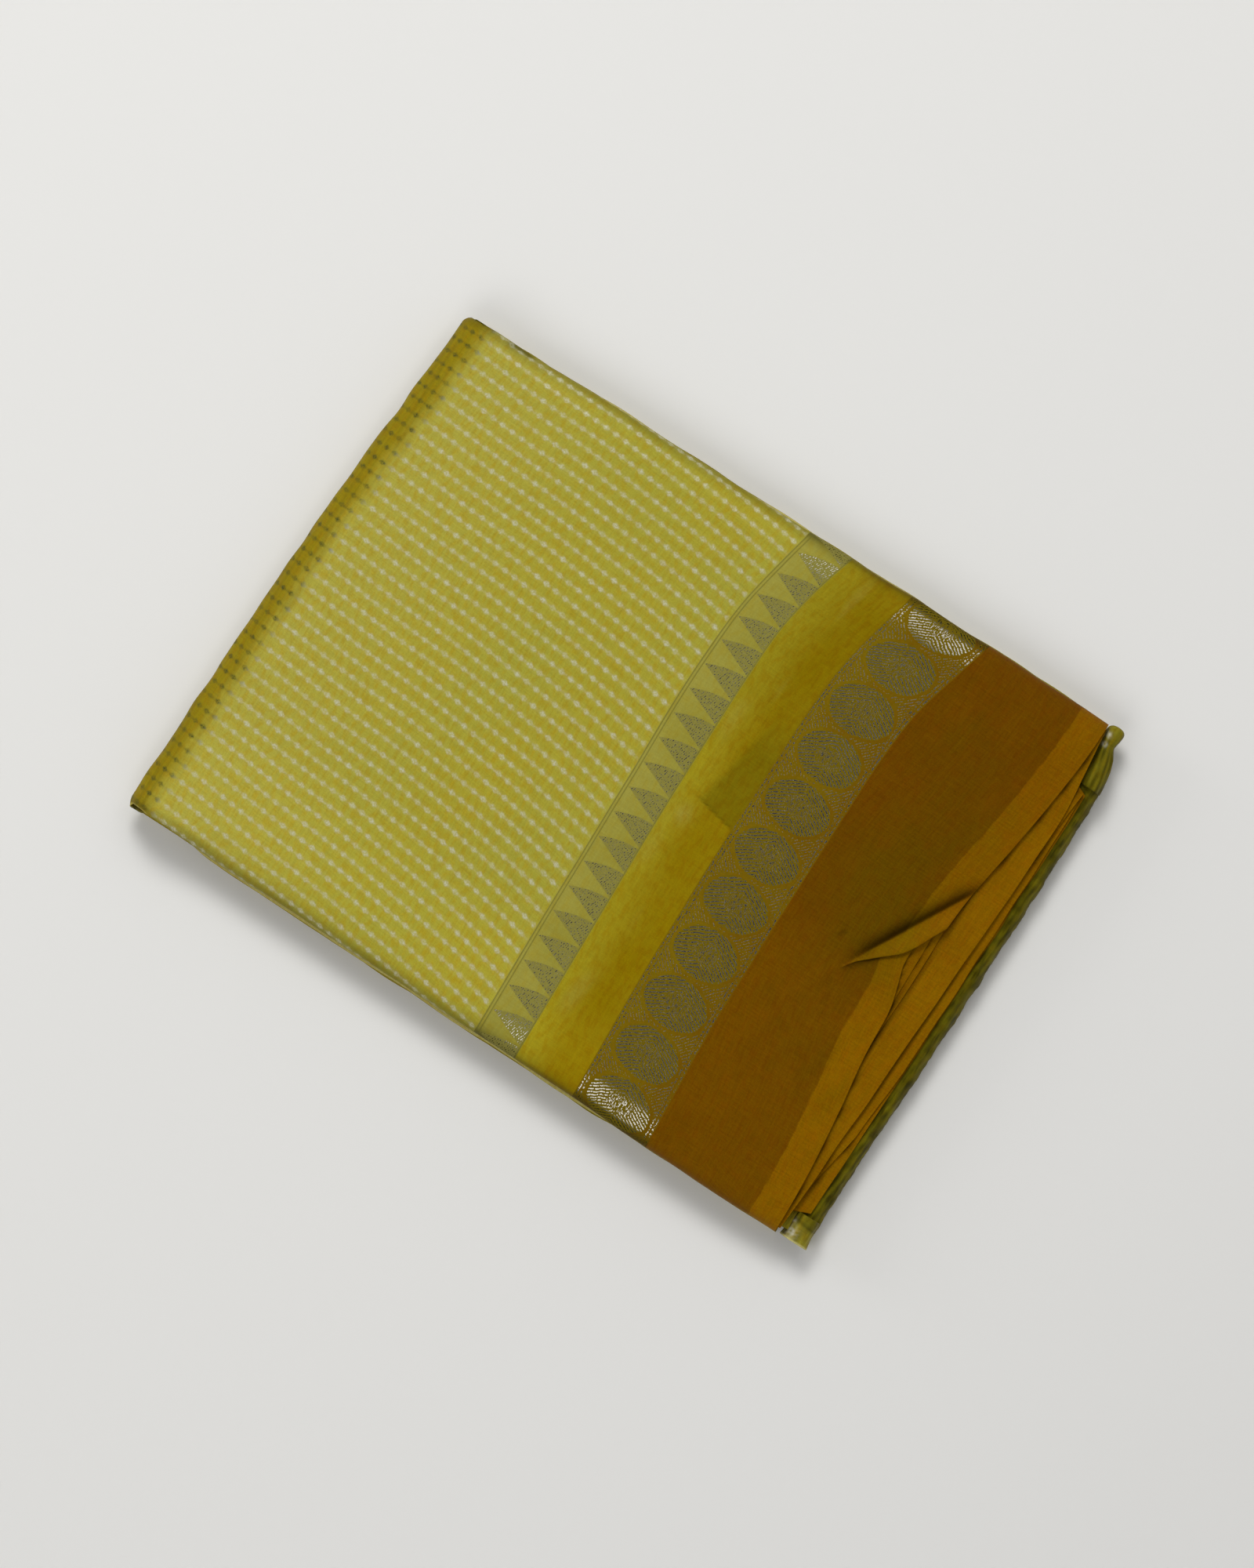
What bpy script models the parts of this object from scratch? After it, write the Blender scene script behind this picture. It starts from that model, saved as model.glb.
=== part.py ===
"""A folded sari at real size, lying flat.

The width of the cloth is folded in three. The top third runs from the left fold to the selvedges, the
middle third lies under it and ends in the right fold, and the bottom third rests on the surface.
X runs from the left fold to the selvedges, Y from the near side to the far side, and Z is up.
The sizes below are millimetres, and the origin is under the middle of the object.
"""

import math

import bmesh
import bpy
import numpy as np

MM = 0.001

WALL = 1.1
GAP = 0.3
TOP_Z = 28.0
ROLL_TOP_Z = 17.4
LEFT_FOLD_UNDER_Z = 8.7
LEFT_FOLD_MID_Z = (TOP_Z + LEFT_FOLD_UNDER_Z) / 2

# The top leaf rolls over the near and far sides and is tucked under.
ROLL_DEPTH = 14.0
ROLL_DROP = 4.2
ROLL_POWER = 2.4
TUCK_DEPTH = 1.4
TUCK_DROP = 1.9
TUCK_ANGLE = math.radians(-60)
# By the left fold that roll is shorter and the fold's ends stay open.
FOLD_ROLL_DEPTH = 6.0
FOLD_ROLL_DROP = 2.4
FOLD_END_ANGLE = math.radians(25)
FOLD_WIDTH = 12.0
FOLD_BLEND = 45.0
CORNER_RADIUS = 4.6

# The stack gets thinner towards the selvedges.
DROP_START_X = 125.0
DROP_LENGTH = 62.0
DROP = 2.5

# The lower selvedge leaves start inside the stack and fan out to the right.
STEP_X = 128.0
LEAF_MIDDLE_X = 160.0
LEAF_FALL = 3.6
LEAF_FALL_LENGTH = 34.0
LEAF_PITCH = WALL + GAP

# The right fold ends short of both sides, where its ends are rolled.
ROLL_RADIUS = ROLL_TOP_Z / 2
ROLL_FAR_Y = 116.7
ROLL_NEAR_Y = -133.7
FLAP_X = 181.5
UNDER_LEAF_RISE = 3.4
UNDER_LEAF_INSET = 6.5

# The inner layers fill the right fold, except at its rolled ends, where they stop at STACK_RIGHT_X.
STACK_RIGHT_X = 180.3
STACK_END_GAP = 0.4
NEAR_OPENING = 5.0
FAR_OPENING = 6.0
INNER_CORNER_RADIUS = 9.0

# On the left the selvedge ends of the bottom third lie one over the other, and above them the inner
# layers stop short of the left fold's foot.
LOOSE_ENDS_TOP_Z = 8.4
LOOSE_ENDS_LOW_Z = 3.9
LOOSE_ENDS_INSET = 6.6
LOOSE_ENDS_RIPPLE = 0.5
LOOSE_ENDS_PITCH = 2.15
FOLD_FOOT_TOP_Z = 10.2
FOLD_FOOT_INSET = 19.5

# The points each piece is drawn through, as counts along and across.
FLAT_ROWS = 16
ROLL_ROWS = 6
TUCK_ROWS_V = (-0.23, 0.40, 25)
END_POINTS = 14
END_POWER = 2.3

SIDES = ("x", "near", "far")
SIDE_ROWS = (
    (-190.0, -145.4, 143.6),
    (-150.0, -146.2, 143.9),
    (-95.0, -146.4, 145.2),
    (-20.0, -146.6, 145.7),
    (60.0, -147.0, 146.6),
    (125.0, -148.0, 147.3),
    (185.0, -147.7, 147.1),
)

LEFT = ("y", "x")
LEFT_ROWS = (
    (-147.0, -197.8),
    (-60.0, -196.3),
    (44.0, -193.8),
    (95.0, -191.5),
    (144.0, -189.0),
)

RIGHT = ("y", "x")
RIGHT_ROWS = (
    (-134.0, 196.9),
    (-112.0, 196.4),
    (-60.0, 197.2),
    (0.0, 197.6),
    (60.0, 197.1),
    (117.0, 195.2),
)

# Where each woven band starts, from the near side to the far side.
BANDS = ("y", "temple", "plain", "medallion", "mustard", "light")
BAND_ROWS = (
    (-147.0, 4.2, 28.0, 61.3, 104.8, 163.9),
    (-117.0, 3.0, 26.9, 59.5, 102.4, 163.0),
    (-80.0, 1.5, 25.5, 57.4, 99.9, 158.4),
    (-44.0, 0.5, 24.0, 56.2, 98.9, 152.4),
    (-16.0, -0.4, 22.9, 55.4, 98.2, 149.0),
    (5.0, -1.0, 22.3, 55.1, 98.0, 151.0),
    (20.0, -1.7, 22.0, 55.0, 97.8, 154.5),
    (43.0, -2.5, 21.7, 54.8, 97.6, 156.6),
    (70.0, -2.4, 21.5, 54.8, 97.6, 157.9),
    (99.0, -0.8, 22.4, 56.4, 99.6, 161.1),
    (126.0, 4.0, 27.2, 61.5, 106.0, 163.8),
    (147.0, 8.4, 33.0, 66.9, 111.5, 165.5),
)

# The selvedge of the top leaf is drawn in where the tuck takes it up.
SELVEDGE = ("y", "x")
SELVEDGE_ROWS = (
    (-147.0, 179.8),
    (-117.0, 178.0),
    (-80.0, 173.6),
    (-44.0, 168.2),
    (-16.0, 164.0),
    (4.0, 161.2),
    (13.0, 164.4),
    (21.0, 168.8),
    (34.0, 169.2),
    (48.0, 171.2),
    (70.0, 174.4),
    (99.0, 178.0),
    (126.0, 180.3),
    (147.0, 180.9),
)

# The right edges of the lower leaves. They draw back under the rolled ends of the right fold.
LEAVES = ("y", "second", "third", "fourth", "fifth")
LEAF_ROWS = (
    (-147.0, 181.2, 180.6, 180.6, 180.6),
    (-134.9, 181.5, 180.6, 180.6, 180.6),
    (-131.0, 181.6, 180.8, 181.0, 189.4),
    (-113.0, 182.1, 181.0, 183.4, 189.6),
    (-88.0, 182.8, 181.5, 187.7, 189.8),
    (-69.0, 183.3, 182.0, 188.5, 189.9),
    (-50.0, 183.7, 182.5, 189.8, 190.1),
    (0.0, 184.9, 183.5, 190.1, 190.3),
    (49.0, 186.3, 184.5, 190.0, 190.3),
    (88.0, 186.8, 187.2, 189.8, 190.2),
    (101.0, 186.5, 187.9, 189.4, 190.0),
    (112.0, 185.3, 189.0, 189.2, 189.8),
    (116.4, 184.6, 180.8, 180.8, 180.8),
    (137.0, 182.0, 180.6, 180.6, 180.6),
    (147.0, 181.0, 180.4, 180.4, 180.4),
)

# The left fold from the top, round its outer side and under the middle third.
FOLD = ("inset", "z")
FOLD_ROWS = (
    (13.0, 28.0),
    (10.3, 27.5),
    (7.2, 25.6),
    (4.0, 22.9),
    (1.3, 20.0),
    (0.0, 16.8),
    (0.7, 13.2),
    (3.2, 10.6),
    (7.5, 9.2),
    (13.0, 8.7),
    (18.0, 8.7),
)

# Name, side inset and drop of each lower leaf: it ends a little further in than the one above it, and
# drops less towards its ends.
LEAF_END_ROWS = (
    ("second", 3.0, 2.0),
    ("third", 4.6, 1.0),
    ("fourth", 6.2, 0.4),
    ("fifth", 7.8, 0.0),
)

# The raised tuck runs from a point in the mustard band to the selvedge.
TUCK_FROM = (135.3, -22.9)
TUCK_TO = (169.5, 40.0)
TUCK_VALLEY = 1.2
TUCK_VALLEY_WIDTH = 5.5
TUCK_RIDGE = 1.5
TUCK_FALL = 3.0
TUCK_START = 4.0
TUCK_FADE_IN = 30.0
TUCK_FADE_OUT = 0.6
TUCK_FADE_FROM = 66.0
TUCK = ("along", "face")
TUCK_ROWS = (
    (0.0, 0.6),
    (9.0, 1.8),
    (18.5, 4.5),
    (30.0, 8.6),
    (37.0, 9.0),
    (48.0, 8.4),
    (60.0, 8.4),
    (75.0, 8.0),
)

# Broad soft swells of the top leaf: x, y, radius along X, radius along Y, rise.
SWELL_ROWS = (
    (138.0, 18.0, 22.0, 38.0, 0.7),
    (132.0, -92.0, 30.0, 34.0, 0.35),
    (-60.0, 40.0, 80.0, 60.0, 0.3),
    (40.0, -60.0, 40.0, 50.0, -0.25),
    (-120.0, -80.0, 50.0, 40.0, -0.2),
)

# The rolled ends of the right fold, as sections from the roll out to the tip: y, x, z, half width and
# half height.
FAR_END_ROWS = (
    (117.0, 189.5, 10.9, 5.7, 10.7),
    (121.0, 189.4, 11.0, 5.7, 10.8),
    (128.0, 188.7, 11.2, 5.2, 10.4),
    (134.0, 187.6, 11.8, 4.4, 9.2),
    (138.5, 186.2, 12.6, 3.6, 7.2),
    (142.5, 185.6, 13.6, 3.7, 5.8),
    (146.5, 185.8, 14.6, 3.7, 4.7),
    (148.8, 186.2, 15.2, 2.2, 2.6),
)
NEAR_END_ROWS = (
    (-134.0, 190.6, 10.9, 6.2, 10.6),
    (-137.5, 190.6, 10.9, 6.2, 10.7),
    (-141.0, 190.8, 10.4, 6.3, 10.0),
    (-145.0, 190.9, 9.4, 6.5, 8.8),
    (-147.6, 191.0, 8.6, 6.4, 7.8),
    (-148.8, 191.0, 8.4, 4.6, 6.0),
)

# The inner layers on the near and far sides, from the bottom up: z and inset of their rounded foot, then
# each bundle's low z, high z, layers, inset of a layer's bulge, of the grooves and of the parting above.
FOOT_ROWS = (
    (1.4, 4.8),
    (2.6, 2.6),
    (3.5, 1.6),
)
BUNDLE_ROWS = (
    (3.9, 8.2, 2, -0.7, 0.2, 1.2),
    (8.9, 17.3, 4, -0.8, 0.2, 1.4),
    (17.9, 20.3, 1, 0.4, 1.2, 3.4),
)
PARTING = 0.3
SHOULDER_ROWS = (
    (20.85, 3.4),
    (22.4, 2.6),
)
UNDER_ROLL_ANGLES = (0.0, 10.0, 22.0, 36.0, 50.0, 62.0)
INNER_TOP_ROW = (26.3, 13.0)
RING_RIGHT_Y = (-136.0, -134.2, -128.5, -90.0, -45.0, 0.0, 45.0, 85.0, 110.0, 116.2, 119.0)
RING_LEFT_Y = (120.0, 90.0, 60.0, 30.0, 0.0, -30.0, -60.0, -90.0, -120.0)
RING_SIDE_POINTS = 14


def ease(t):
    t = np.clip(t, 0.0, 1.0)
    return t * t * (3.0 - 2.0 * t)


def column(names, rows, name):
    return np.array([row[names.index(name)] for row in rows])


def smooth_curve(knots, values, at):
    """A cubic through the values, with its slope at each knot from the two neighbours."""
    slopes = np.gradient(values, knots)
    at = np.clip(at, knots[0], knots[-1])
    i = np.clip(np.searchsorted(knots, at) - 1, 0, len(knots) - 2)
    span = knots[i + 1] - knots[i]
    t = (at - knots[i]) / span
    start = (1 + 2 * t) * (1 - t) ** 2 * values[i] + t * (1 - t) ** 2 * span * slopes[i]
    end = t * t * (3 - 2 * t) * values[i + 1] + t * t * (t - 1) * span * slopes[i + 1]
    return start + end


def read(names, rows, name, at):
    """One column of a table, read at a place along its first column."""
    return smooth_curve(column(names, rows, names[0]), column(names, rows, name), at)


def read_straight(names, rows, name, at):
    return np.interp(at, column(names, rows, names[0]), column(names, rows, name))


def near_side(x):
    return read(SIDES, SIDE_ROWS, "near", x)


def far_side(x):
    return read(SIDES, SIDE_ROWS, "far", x)


def left_side(y):
    return read(LEFT, LEFT_ROWS, "x", y)


def right_side(y):
    return read(RIGHT, RIGHT_ROWS, "x", y)


def tuck_rise(x, y):
    """Height of the tuck: a valley on its upper left, a rising face, and a short fall to the right."""
    run = np.array(TUCK_TO) - np.array(TUCK_FROM)
    run = run / np.hypot(*run)
    along = (x - TUCK_FROM[0]) * run[0] + (y - TUCK_FROM[1]) * run[1]
    across = (x - TUCK_FROM[0]) * run[1] - (y - TUCK_FROM[1]) * run[0]
    face = read(TUCK, TUCK_ROWS, "face", along)
    fading = TUCK_FADE_OUT * ease((along - TUCK_FADE_FROM) / TUCK_FADE_IN)
    strength = ease((along + TUCK_START) / TUCK_FADE_IN) * (1.0 - fading)
    valley = -TUCK_VALLEY * np.exp(-((across / TUCK_VALLEY_WIDTH) ** 2))
    on_face = -TUCK_VALLEY + (TUCK_VALLEY + TUCK_RIDGE) * ease(across / face)
    falling = TUCK_RIDGE * (1.0 - ease((across - face) / TUCK_FALL))
    rise = np.where(across < 0, valley, np.where(across < face, on_face, falling))
    return rise * strength


def swell_rise(x, y):
    rise = np.zeros_like(x)
    for centre_x, centre_y, radius_x, radius_y, height in SWELL_ROWS:
        spread = ((x - centre_x) / radius_x) ** 2 + ((y - centre_y) / radius_y) ** 2
        rise = rise + height * np.exp(-spread)
    return rise


def top_z(x, y):
    """Height of the top leaf's outer side, away from its rolled sides."""
    thinning = DROP * ease((x - DROP_START_X) / DROP_LENGTH)
    return TOP_Z - thinning + swell_rise(x, y) + tuck_rise(x, y)


def side_roll(v, depth, end_angle):
    """How far a leaf has come in from its side, and its height from 1 on top to 0 at its widest.

    v is 1 where the roll starts and 2 at the tucked end; below 0 the height is that of the tuck.
    """
    angle = math.pi / 2 - (np.clip(np.abs(v), 1.0, 2.0) - 1.0) * (math.pi / 2 - end_angle)
    upper = np.clip(angle, 0.0, math.pi / 2)
    lower = np.clip(angle, -math.pi / 2, 0.0)
    inset = depth * (1.0 - np.cos(upper) ** (2 / ROLL_POWER))
    inset = np.where(angle < 0, TUCK_DEPTH * (1.0 - np.cos(lower)), inset)
    return inset, np.sin(upper) ** (2 / ROLL_POWER), np.sin(lower)


def top_leaf(x, v):
    """Y, rise and tuck of the top leaf: v runs from -2 at the near tuck to 2 at the far tuck."""
    calm = ease((x - left_side(0.0) - FOLD_WIDTH) / FOLD_BLEND)
    depth = FOLD_ROLL_DEPTH + (ROLL_DEPTH - FOLD_ROLL_DEPTH) * calm
    drop = FOLD_ROLL_DROP + (ROLL_DROP - FOLD_ROLL_DROP) * calm
    end_angle = FOLD_END_ANGLE + (TUCK_ANGLE - FOLD_END_ANGLE) * calm
    inset, rise, tucked = side_roll(v, depth, end_angle)
    near = near_side(x)
    far = far_side(x)
    middle = (near + far) / 2
    half = (far - near) / 2
    y = middle + np.clip(v, -1, 1) * (half - depth) + np.sign(v) * (depth - inset) * (np.abs(v) > 1)
    return y, -drop * (1.0 - rise) + TUCK_DROP * tucked


def band_edge(name, y):
    if name == "selvedge":
        return read(SELVEDGE, SELVEDGE_ROWS, "x", y)
    return read(BANDS, BAND_ROWS, name, y)


def band_grid(start, end, columns, v):
    """The outer side of the top leaf between two band edges, with a seam gap on both."""
    u, v = np.meshgrid(np.linspace(0.0, 1.0, columns + 1), v)
    first = band_edge(start, 0.0)
    last = band_edge(end, 0.0)
    x = first + u * (last - first)
    for _ in range(3):
        y, fall = top_leaf(x, v)
        left = band_edge(start, y) + GAP / 2
        right = band_edge(end, y) - GAP / 2
        x = left + u * (right - left)
    return np.stack([x, y, top_z(x, y) + fall], axis=-1)


def fold_point(along):
    """Inset and height on the left fold's outer side, for 0 at its top to 1 under the middle third."""
    inset = column(FOLD, FOLD_ROWS, "inset")
    z = column(FOLD, FOLD_ROWS, "z")
    length = np.concatenate([[0.0], np.cumsum(np.hypot(np.diff(inset), np.diff(z)))])
    at = np.asarray(along) * length[-1]
    return smooth_curve(length, inset, at), smooth_curve(length, z, at)


def corner_inset(y, near, far, radius):
    """How far a rounded corner in plan comes in from the left."""
    distance = np.clip(np.minimum(y - near, far - y), 0.0, radius)
    return radius - np.sqrt(radius**2 - (radius - distance) ** 2)


def field_grid(fold_columns, flat_columns, v):
    """The field of the top leaf with the left fold, from under the middle third to the temple band."""
    fold_at = np.linspace(1.0, 0.0, fold_columns + 1)
    inset, z = fold_point(fold_at)
    along = np.linspace(0.0, 1.0, flat_columns + 1)[1:]
    u, rows = np.meshgrid(np.concatenate([np.zeros(len(inset)), along]), v)
    inset = np.concatenate([inset, np.full(len(along), inset[-1])])[None, :]
    z = np.concatenate([z, np.full(len(along), z[-1])])[None, :]
    turned = (z - LEFT_FOLD_MID_Z) / (TOP_Z - LEFT_FOLD_MID_Z)
    x = np.full(u.shape, left_side(0.0)) + inset
    for _ in range(3):
        y, fall = top_leaf(x, rows)
        rounding = corner_inset(y, near_side(x), far_side(x), CORNER_RADIUS)
        start = left_side(y) + inset + rounding * (1.0 - inset / inset.max())
        x = start + u * (band_edge("temple", y) - GAP / 2 - start)
    height = z + (top_z(x, y) - TOP_Z) * (u > 0) + fall * np.clip(turned, 0.0, 1.0)
    return np.stack([x, y, height], axis=-1)


def leaf_z(order, x):
    """Height of a lower selvedge leaf's outer side; the second leaf has order 1."""
    return TOP_Z - LEAF_PITCH * order - LEAF_FALL * ease((x - STEP_X) / LEAF_FALL_LENGTH)


def leaf_grid(name, order, side_inset, drop, columns):
    """A lower leaf from inside the stack to its selvedge, lower at the near and far sides."""
    depth = ROLL_DEPTH - side_inset
    near = near_side(LEAF_MIDDLE_X) + side_inset
    far = far_side(LEAF_MIDDLE_X) - side_inset
    ends = np.array([0.0, 1.0, 3.0, 6.0])
    y = np.concatenate([near + ends, column(LEAVES, LEAF_ROWS, "y"), far - ends[::-1]])
    y = np.unique(np.clip(y, near, far))
    u, y = np.meshgrid(np.linspace(0.0, 1.0, columns + 1), y)
    start = STEP_X + GAP
    x = start + u * (read_straight(LEAVES, LEAF_ROWS, name, y) - start)
    inside = np.clip(np.minimum(y - near, far - y) / depth, 0.0, 1.0)
    rise = (1.0 - (1.0 - inside) ** ROLL_POWER) ** (1 / ROLL_POWER)
    return np.stack([x, y, leaf_z(order, x) - drop * (1.0 - rise)], axis=-1)


def right_fold_grid(columns, rows):
    """The right fold as half a tube, from its flap under the selvedges to its part on the surface."""
    turn = np.linspace(0.0, math.pi, columns + 1)
    turn = np.concatenate([turn[:1], turn, turn[-1:]])
    turn, y = np.meshgrid(turn, np.linspace(ROLL_NEAR_Y, ROLL_FAR_Y, rows + 1))
    x = right_side(y) - ROLL_RADIUS * (1.0 - np.sin(turn))
    x[:, [0, -1]] = FLAP_X
    return np.stack([x, y, ROLL_RADIUS * (1.0 + np.cos(turn))], axis=-1)


def under_leaf_grid(columns, rows):
    """The leaf that rests on the surface: flat, and turned up at the near and far sides."""
    turn = np.radians([80.0, 55.0, 30.0, 0.0])
    inset = UNDER_LEAF_RISE * (1.0 - np.sin(turn))
    rise = UNDER_LEAF_RISE * (1.0 - np.cos(turn))
    flat = np.linspace(0.0, 1.0, rows + 1)
    share = np.concatenate([np.zeros(len(turn) - 1), flat, np.ones(len(turn) - 1)])
    inset = np.concatenate([inset[:-1], np.full(rows + 1, inset[-1]), inset[-2::-1]])
    rise = np.concatenate([rise[:-1], np.full(rows + 1, rise[-1]), rise[-2::-1]])
    u, share = np.meshgrid(np.linspace(0.0, 1.0, columns + 1), share)
    inset = inset[:, None]
    right = FLAP_X - GAP
    x = np.zeros(u.shape)
    for _ in range(3):
        near = near_side(x) + inset
        far = far_side(x) - inset
        y = near + share * (far - near)
        x = right + u * (left_side(y) + UNDER_LEAF_INSET - right)
    return np.stack([x, y, np.broadcast_to(rise[:, None], u.shape)], axis=-1)


def roll_inside(angles):
    """Inset and height of the top leaf's roll on its inner side, with the gap to what it lies on."""
    angles = np.radians(angles)
    inset = ROLL_DEPTH * (1.0 - np.cos(angles) ** (2 / ROLL_POWER))
    z = TOP_Z - ROLL_DROP * (1.0 - np.sin(angles) ** (2 / ROLL_POWER))
    run = np.gradient(inset)
    rise = np.gradient(z)
    length = np.hypot(run, rise)
    step = WALL + GAP
    return inset + step * rise / length, z - step * run / length


def fold_inside(z):
    """Inset of the left fold's inner side at a height, with the gap to what it lies on."""
    inset, height = fold_point(np.linspace(0.0, 0.8, 60))
    run = np.gradient(inset)
    rise = np.gradient(height)
    length = np.hypot(run, rise)
    step = WALL + GAP
    inner_inset = inset - step * rise / length
    inner_z = height + step * run / length
    return np.interp(z, inner_z[::-1], inner_inset[::-1])


def layered(z_low, z_high, count, bulge, groove):
    """Heights and insets of a run of rounded layers, from the bottom up."""
    profile = ((0.0, groove), (0.16, 0.5 * (groove + bulge)), (0.5, bulge), (0.84, 0.5 * (groove + bulge)))
    step = (z_high - z_low) / count
    return [(z_low + step * (i + part), inset) for i in range(count) for part, inset in profile]


def inner_side_rows():
    """Heights of the inner layers' rings with their insets on the near and far sides."""
    rows = list(FOOT_ROWS)
    for low, high, count, bulge, groove, parting in BUNDLE_ROWS:
        rows += layered(low, high, count, bulge, groove)
        rows += [(high, groove + 0.1), (high + PARTING, parting)]
    rows += SHOULDER_ROWS
    inset, z = roll_inside(np.array(UNDER_ROLL_ANGLES))
    rows += [(height, depth) for depth, height in zip(inset, z) if rows[-1][0] < height < INNER_TOP_ROW[0]]
    return rows + [INNER_TOP_ROW]


def inner_left(z):
    """Inset of the inner layers from the left outline at a height."""
    if z < LOOSE_ENDS_TOP_Z:
        turn = 2 * math.pi * (z - LOOSE_ENDS_LOW_Z) / LOOSE_ENDS_PITCH
        return LOOSE_ENDS_INSET + LOOSE_ENDS_RIPPLE * math.cos(turn)
    if z < FOLD_FOOT_TOP_Z:
        return FOLD_FOOT_INSET
    return float(fold_inside(z))


def inner_right(z, y):
    """Where the inner layers end on the right at a height."""
    inside = ROLL_RADIUS - WALL - 1.5 * GAP
    from_near = y - ROLL_NEAR_Y - STACK_END_GAP
    from_far = ROLL_FAR_Y - STACK_END_GAP - y
    filled = ease(from_near / NEAR_OPENING) * ease(from_far / FAR_OPENING)
    if z < ROLL_TOP_Z - WALL - GAP:
        reach = right_side(y) - ROLL_RADIUS + math.sqrt(max(inside**2 - (z - ROLL_RADIUS) ** 2, 0.0))
        return STACK_RIGHT_X + (reach - STACK_RIGHT_X) * filled
    if z < ROLL_TOP_Z:
        return STACK_RIGHT_X + (FLAP_X - GAP - STACK_RIGHT_X) * filled
    slack = 0.2
    top = TOP_Z - len(LEAF_END_ROWS) * LEAF_PITCH - WALL - GAP - slack
    fall = np.clip((top - z) / (LEAF_FALL - slack), 0.0, 1.0)
    steps = np.linspace(0.0, 1.0, 101)
    return STEP_X - GAP + LEAF_FALL_LENGTH * np.interp(fall, ease(steps), steps)


def inner_ring(z, side_inset):
    """One level ring of the inner layers, counter-clockwise from the near left corner."""
    left_inset = inner_left(z)
    arc = np.radians([0.0, 30.0, 60.0, 90.0])
    right_y = np.array(RING_RIGHT_Y)
    left_y = np.array(RING_LEFT_Y)
    right_x = np.array([float(inner_right(z, y)) for y in right_y])
    left_x = left_side(left_y) + left_inset
    start = left_side(right_y[0]) + left_inset + INNER_CORNER_RADIUS
    end = left_side(-right_y[0]) + left_inset + INNER_CORNER_RADIUS
    near_x = np.linspace(start, right_x[0] - 1.5, RING_SIDE_POINTS)
    far_x = np.linspace(right_x[-1] - 1.5, end, RING_SIDE_POINTS)
    near_y = near_side(near_x) + side_inset
    far_y = far_side(far_x) - side_inset
    across = INNER_CORNER_RADIUS * np.sin(arc[1:])
    along = INNER_CORNER_RADIUS * (1.0 - np.cos(arc[1:]))
    x = [start - across[::-1], near_x, right_x, far_x, end - across, left_x]
    y = [near_y[0] + along[::-1], near_y, right_y, far_y, far_y[-1] - along, left_y]
    x = np.concatenate(x)
    return np.stack([x, np.concatenate(y), np.full(len(x), z)], axis=-1)


def end_ring(row):
    """A section of a rolled end: a rounded upright oval at one Y."""
    y, x, z, half_width, half_height = row
    turn = np.linspace(0.0, 2 * math.pi, END_POINTS, endpoint=False)
    across = half_width * np.sign(np.cos(turn)) * np.abs(np.cos(turn)) ** (2 / END_POWER)
    up = half_height * np.sign(np.sin(turn)) * np.abs(np.sin(turn)) ** (2 / END_POWER)
    return np.stack([x + across, np.full(END_POINTS, y), z + up], axis=-1)


def make_material(name, color, roughness, metallic=0.0):
    material = bpy.data.materials.new(name)
    material.use_nodes = True
    shader = material.node_tree.nodes["Principled BSDF"]
    shader.inputs["Base Color"].default_value = (*color, 1.0)
    shader.inputs["Roughness"].default_value = roughness
    shader.inputs["Metallic"].default_value = metallic
    material.diffuse_color = (*color, 1.0)
    return material


def add_object(name, points, faces, material):
    mesh = bpy.data.meshes.new(name)
    mesh.from_pydata([tuple(point) for point in points * MM], [], faces)
    mesh.update()
    mesh.shade_smooth()
    mesh.materials.append(material)
    obj = bpy.data.objects.new(name, mesh)
    bpy.data.collections["folded_sari"].objects.link(obj)
    return obj


def add_sheet(name, grid, material):
    """A cloth wall inwards from a grid of points on its outer side."""
    rows, columns = grid.shape[:2]
    index = np.arange(rows * columns).reshape(rows, columns)
    faces = np.stack([index[:-1, :-1], index[:-1, 1:], index[1:, 1:], index[1:, :-1]], axis=-1)
    obj = add_object(name, grid.reshape(-1, 3), faces.reshape(-1, 4).tolist(), material)
    wall = obj.modifiers.new("Wall", "SOLIDIFY")
    wall.thickness = WALL * MM
    wall.offset = -1.0
    return obj


def add_loft(name, rings, material):
    """A closed solid through rings that have as many points each, with flat ends."""
    count = len(rings[0])
    points = np.concatenate(rings)
    faces = []
    for ring in range(len(rings) - 1):
        for i in range(count):
            j = (i + 1) % count
            low = ring * count
            faces.append((low + i, low + j, low + count + j, low + count + i))
    faces.append(tuple(range(count - 1, -1, -1)))
    last = (len(rings) - 1) * count
    faces.append(tuple(range(last, last + count)))
    obj = add_object(name, points, faces, material)
    mesh = bmesh.new()
    mesh.from_mesh(obj.data)
    bmesh.ops.recalc_face_normals(mesh, faces=mesh.faces)
    mesh.to_mesh(obj.data)
    mesh.free()
    return obj


def side_rows(extra=()):
    """Values of v from the near tuck to the far tuck, closer together on the rolls."""
    roll = np.linspace(1.0, 2.0, ROLL_ROWS + 1)[1:]
    flat = np.unique(np.concatenate([np.linspace(-1.0, 1.0, FLAT_ROWS + 1), extra]))
    return np.concatenate([-roll[::-1], flat, roll])


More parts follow.
